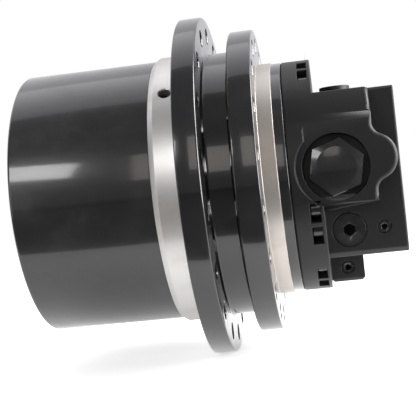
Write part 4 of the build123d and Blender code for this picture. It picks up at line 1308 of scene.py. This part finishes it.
@dataclass
class FrameSide:
    """The fixed frame hub with the rear cover and its fittings. Sizes in mm."""

    spindle: float = -96.5
    spindle_radius: float = 80.0
    bearing_start: float = -46.0
    shoulder_radius: float = 84.0
    seal_hub: float = -6.0
    seal_radius: float = 103.2
    back: float = -21.0
    flange_radius: float = 140.5
    bolt_circle: float = 127.0
    bolt_count: int = 18
    bolt_hole: float = 7.5
    pilot_radius: float = 108.0
    pilot_length: float = 13.5
    case_radius: float = 107.0
    case_end: float = 22.5
    motor_bore: float = 63.0
    swash: float = -63.5
    bearing_seat: float = 36.0
    bearing_seat_start: float = -80.5
    lip_radius: float = 26.0
    shaft_seal: float = -87.5
    shaft_seal_radius: float = 30.0
    screw_seat: float = 37.0
    screw_circle: float = 95.0
    screw_pairs: tuple[float, ...] = (61.5, 118.5, 203.5, 241.5, 298.5, -23.5)
    screw_half_step: float = 5.8
    spool: Triple = (62.5, 90.5, 4.5)
    speed: Triple = (68.4, 72.0, -50.8)
    gallery: Triple = (98.4, 72.0, -51.0)
    foot_plug: Triple = (64.0, 24.0, -87.5)
    drain_plugs: Span = (56.25, 71.25)
    drain_plug_face: float = -102.0
    top_boss: Triple = (69.0, 0.0, 79.5)
    valve_block_end: float = 95.5
    rim_start: float = 46.5
    rim_margin: float = 0.5
    block_corner: Span = (86.0, 74.0)
    edge_round: float = 0.9
    edge_facets: int = 4
    block_round: float = 3.6
    block_facets: int = 6

    def build_hub(self, shop: Workshop) -> bpy.types.Object:
        """Make the frame hub with its spindle, flange, pilot and motor case, and drill it.

        Args:
            shop: the trees.

        Returns:
            The hub.
        """
        hub = revolved("frame_flange_hub", rounded([
            (self.spindle, self.spindle_radius, 0.8),
            (self.bearing_start, self.spindle_radius),
            (self.bearing_start, self.shoulder_radius, 0.8),
            (self.seal_hub, self.shoulder_radius),
            (self.seal_hub, self.seal_radius, 1.0),
            (self.back, self.seal_radius, 1.0),
            (self.back, self.flange_radius, 1.8),
            (0.0, self.flange_radius, 1.4),
            (0.0, self.pilot_radius, 0.8),
            (self.pilot_length, self.pilot_radius, 0.5),
            (self.pilot_length, self.case_radius),
            (self.case_end, self.case_radius, 1.2),
            (self.case_end, self.motor_bore, 0.8),
            (self.swash, self.motor_bore),
            (self.swash, self.bearing_seat),
            (self.bearing_seat_start, self.bearing_seat),
            (self.bearing_seat_start, self.lip_radius),
            (self.shaft_seal, self.lip_radius),
            (self.shaft_seal, self.shaft_seal_radius),
            (self.spindle, self.shaft_seal_radius, 0.8),
        ]), FLANGE_SEGMENTS)
        shop.drill(hub, Coat.FRAME_HUB, HoleCircle(
            self.bolt_count, self.bolt_circle, self.bolt_hole, self.back, 0.0))
        return hub

    def is_rim(self, edge: bmesh.types.BMEdge) -> bool:
        """Tell whether an edge lies on the round upper rim of the valve block's end.

        Args:
            edge: an edge of the cover.

        Returns:
            True on the rim.
        """
        return all(
            abs(vert.co.x - self.valve_block_end * MM) < ON_FACE
            and vert.co.yz.length > (self.case_radius - self.rim_margin) * MM
            and vert.co.z > self.rim_start * MM
            for vert in edge.verts
        )

    def is_block_end(self, edge: bmesh.types.BMEdge) -> bool:
        """Whether an edge lies on the outer part of the valve block's end, where edges crowd."""
        along, across = (size * MM for size in self.block_corner)
        return all(vert.co.x > along and abs(vert.co.y) > across for vert in edge.verts)

    def build_cover(self) -> bpy.types.Object:
        """Make the cast rear cover: the CAD form with rounded edges, most at the valve block's upper end.

        Returns:
            The cover.
        """
        cover = merged("rear_cover", "cast_rear_cover")
        bm = bmesh.new()
        bm.from_mesh(cover.data)
        bmesh.ops.bevel(
            bm, geom=[edge for edge in bm.edges if self.is_rim(edge)], offset=self.block_round * MM,
            segments=self.block_facets, profile=0.5, affect="EDGES", clamp_overlap=True,
        )
        weights = bm.edges.layers.float.new("bevel_weight_edge")
        for edge in bm.edges:
            folded = len(edge.link_faces) == 2 and edge.calc_face_angle() > radians(CREASE_ANGLE)
            if folded and not self.is_block_end(edge):
                edge[weights] = 1.0
        bm.to_mesh(cover.data)
        bm.free()
        crease(cover)
        bevel = cover.modifiers.new("cast_edges", "BEVEL")
        bevel.width = self.edge_round * MM
        bevel.segments = self.edge_facets
        bevel.limit_method = "WEIGHT"
        bevel.harden_normals = True
        bevel.use_clamp_overlap = False
        keep(cover)
        return cover

    def screw_seats(self) -> list[Seat]:
        """Place the cover's screws, in pairs round the drive axis.

        Returns:
            Their seats.
        """
        turns = [pair + side * self.screw_half_step for pair in self.screw_pairs for side in (-1, 1)]
        ring, places = self.screw_circle, []
        for angle in (radians(turn) for turn in turns):
            place = Vector((self.screw_seat, ring * cos(angle), ring * sin(angle)))
            places.append((place, Vector((1.0, 0.0, 0.0))))
        return places

    def both_sides(self, place: Triple) -> list[Seat]:
        """A seat on the near side and its twin on the far side, facing outwards."""
        x, y, z = place
        return [(Vector((x, side * y, z)), Vector((0.0, side, 0.0))) for side in (-1.0, 1.0)]

    def gallery_seats(self) -> list[Seat]:
        """Place the small plugs, on both sides, below and on the top boss.

        Returns:
            Their seats.
        """
        places = self.both_sides(self.gallery) + self.both_sides(self.foot_plug)
        down, up = Vector((0.0, 0.0, -1.0)), Vector((0.0, 0.0, 1.0))
        places += [(Vector((x, 0.0, self.drain_plug_face)), down) for x in self.drain_plugs]
        return places + [(Vector(self.top_boss), up)]

    def build(self, shop: Workshop) -> None:
        """Make and settle every piece of the frame side that shows.

        Args:
            shop: the trees.
        """
        settle(self.build_hub(shop), "frame_hub", Coat.FRAME_HUB)
        settle(self.build_cover(), "rear_cover", Coat.COVER)
        screw = Fastener("cover_screw", radius=8.0, top=10.0, bevel=0.8, socket=8.0, socket_depth=5.0)
        hexagon = Fastener(
            "spool_plug", radius=21.0, top=11.0, bevel=0.6, bottom=-18.0,
            hexagon=44.0, face=17.0, turn=-12.0,
        )
        flush = Fastener(
            "speed_plug", radius=14.8, top=0.0, bevel=0.7, bottom=-11.0, socket=10.0, socket_depth=7.0,
        )
        small = Fastener(
            "gallery_plug", radius=5.7, top=0.0, bevel=0.5, bottom=-9.0, socket=5.0, socket_depth=4.0,
            count=24,
        )
        for name, node, fastener, places in (
            ("cover_socket_screws", "cover_screws", screw, self.screw_seats()),
            ("hexagon_spool_plugs", "spool_plugs", hexagon, self.both_sides(self.spool)),
            ("flush_speed_plugs", "speed_plugs", flush, self.both_sides(self.speed)),
            ("small_gallery_plugs", "gallery_plugs", small, self.gallery_seats()),
        ):
            settle(shop.seat(name, fastener, Coat.PLUG, places), node, Coat.PLUG)


@dataclass
class InnerWorks:
    """Gears, bearings, motor and valves inside: the CAD forms, closed and dressed."""

    shown: tuple[str, ...] = (
        "ring_gear_drum", "sprocket_hub", "end_cover", "end_cover_screws", "oil_plugs", "frame_hub",
        "rear_cover", "cover_screws", "spool_plugs", "speed_plugs", "gallery_plugs",
    )

    def build(self) -> None:
        """Close and settle every node that no other class has made."""
        for node in sorted(NODE_SLOTS):
            if node not in self.shown:
                settle(merged(node, f"{node}_piece"), node)


@dataclass(frozen=True)
class Lamp:
    """An area lamp that faces the drive: place and size in metres, brightness where a white card is 1."""

    name: str
    place: Triple
    size: Span
    bright: float
    colour: Triple = (1.0, 1.0, 1.0)

    def build(self) -> None:
        """Set the lamp up."""
        data = bpy.data.lights.new(self.name, "AREA")
        data.shape = "RECTANGLE"
        data.size, data.size_y = self.size
        data.energy = self.bright * pi * self.size[0] * self.size[1]
        data.color = self.colour
        made = linked(self.name, data)
        made.location = self.place
        made.rotation_euler = (-Vector(self.place)).to_track_quat("-Z", "Y").to_euler()


@dataclass
class Studio:
    """Camera, pale floor and soft light. Places in metres."""

    camera_place: Triple = (0.05483, -0.92768, 0.0)
    right: Triple = (0.986610, 0.121197, -0.109145)
    up: Triple = (0.105589, 0.035404, 0.993779)
    ahead: Triple = (-0.124308, 0.991997, -0.022133)
    lens: float = 84.8
    sensor: float = 36.0
    clip_start: float = 0.01
    floor_height: float = -0.1575
    floor_gap: float = 0.0005
    floor_reach: float = 3.0
    sheet_front: float = -0.235
    sheet_blur: float = 0.004
    sheet_white: float = 0.9
    bench: float = 0.13
    camera_lift: float = 0.62
    mirror_lift: float = 0.5
    front_tone: Triple = (0.235, 0.235, 0.24)
    back_tone: Triple = (0.8, 0.8, 0.83)
    tone_blend: Span = (-0.1, 0.5)
    lamps: tuple[Lamp, ...] = (
        Lamp("overhead_softbox", (0.0, 0.125, 0.85), (3.0, 0.6), 0.7, (0.97, 0.97, 1.0)),
        Lamp("key_lamp", (-0.77, -1.3, 0.66), (0.5, 0.3), 8.0),
        Lamp("warm_card", (0.0, -1.3, 0.5), (0.34, 0.5), 1.6, (1.0, 0.93, 0.86)),
        Lamp("left_card", (-1.04, -0.93, 0.06), (0.5, 1.0), 1.5),
        Lamp("right_strip", (1.2, -0.25, 0.12), (1.1, 0.6), 10.0),
        Lamp("right_lamp", (1.02, 0.16, 0.62), (0.8, 0.6), 11.0),
    )

    def build_camera(self) -> None:
        """The camera at the photograph's place."""
        data = bpy.data.cameras.new("photo_camera")
        data.lens = self.lens
        data.sensor_width = self.sensor
        data.clip_start = self.clip_start
        camera = linked("photo_camera", data)
        axes = Matrix((self.right, self.up, [-part for part in self.ahead])).transposed().to_4x4()
        camera.matrix_world = Matrix.Translation(self.camera_place) @ axes
        bpy.context.scene.camera = camera

    def build_floor(self) -> None:
        """A pale sheet under the drive; off the sheet, reflections see a dark bench."""
        bm = bmesh.new()
        bmesh.ops.create_grid(bm, x_segments=1, y_segments=1, size=self.floor_reach)
        floor = new_object("studio_floor", bm)
        floor.location.z = self.floor_height - self.floor_gap
        material = bpy.data.materials.new("pale_sheet")
        graph = Graph.blank(material)
        place = graph.node("ShaderNodeTexCoord", output="Object")
        depth = graph.node("ShaderNodeSeparateXYZ", None, {0: place}, output=1)
        camera = graph.node("ShaderNodeLightPath", output="Is Camera Ray")
        glossy = graph.node("ShaderNodeLightPath", output="Is Glossy Ray")
        sheet = depth.step(self.sheet_front - self.sheet_blur, self.sheet_front + self.sheet_blur)
        white = rgba([self.sheet_white] * 3)
        tone = graph.mix(sheet, rgba([self.bench] * 3), white)
        tone = graph.mix(camera, tone, white)
        matt = graph.node("ShaderNodeBsdfDiffuse", None, {"Color": tone})
        lift = camera * self.camera_lift + glossy * sheet * self.mirror_lift
        glow = graph.node("ShaderNodeEmission", None, {"Color": WHITE, "Strength": lift})
        both = graph.node("ShaderNodeAddShader", None, {0: matt, 1: glow})
        graph.node("ShaderNodeOutputMaterial", None, {"Surface": both})
        floor.data.materials.append(material)

    def build_world(self) -> None:
        """White to the camera; to the object, white behind and dim in front."""
        world = bpy.data.worlds.new("studio_world")
        bpy.context.scene.world = world
        graph = Graph.blank(world)
        way = graph.node("ShaderNodeTexCoord", output="Generated")
        depth = graph.node("ShaderNodeSeparateXYZ", None, {0: way}, output=1)
        camera = graph.node("ShaderNodeLightPath", output="Is Camera Ray")
        tone = graph.mix(depth.step(*self.tone_blend), rgba(self.front_tone), rgba(self.back_tone))
        tone = graph.mix(camera, tone, WHITE)
        back = graph.node("ShaderNodeBackground", None, {"Color": tone, "Strength": 1.0})
        graph.node("ShaderNodeOutputWorld", None, {"Surface": back})

    def build(self) -> None:
        """Set the whole studio up."""
        bpy.context.scene.view_settings.view_transform = "Standard"
        self.build_camera()
        self.build_floor()
        self.build_world()
        for lamp in self.lamps:
            lamp.build()


def main() -> None:
    """Build the sub-assemblies in order."""
    logging.basicConfig(level=logging.INFO, format="%(name)s: %(message)s")
    shop = Workshop()
    Studio().build()
    GearCase().build(shop)
    FrameSide().build(shop)
    InnerWorks().build()


if __name__ == "__main__":
    main()
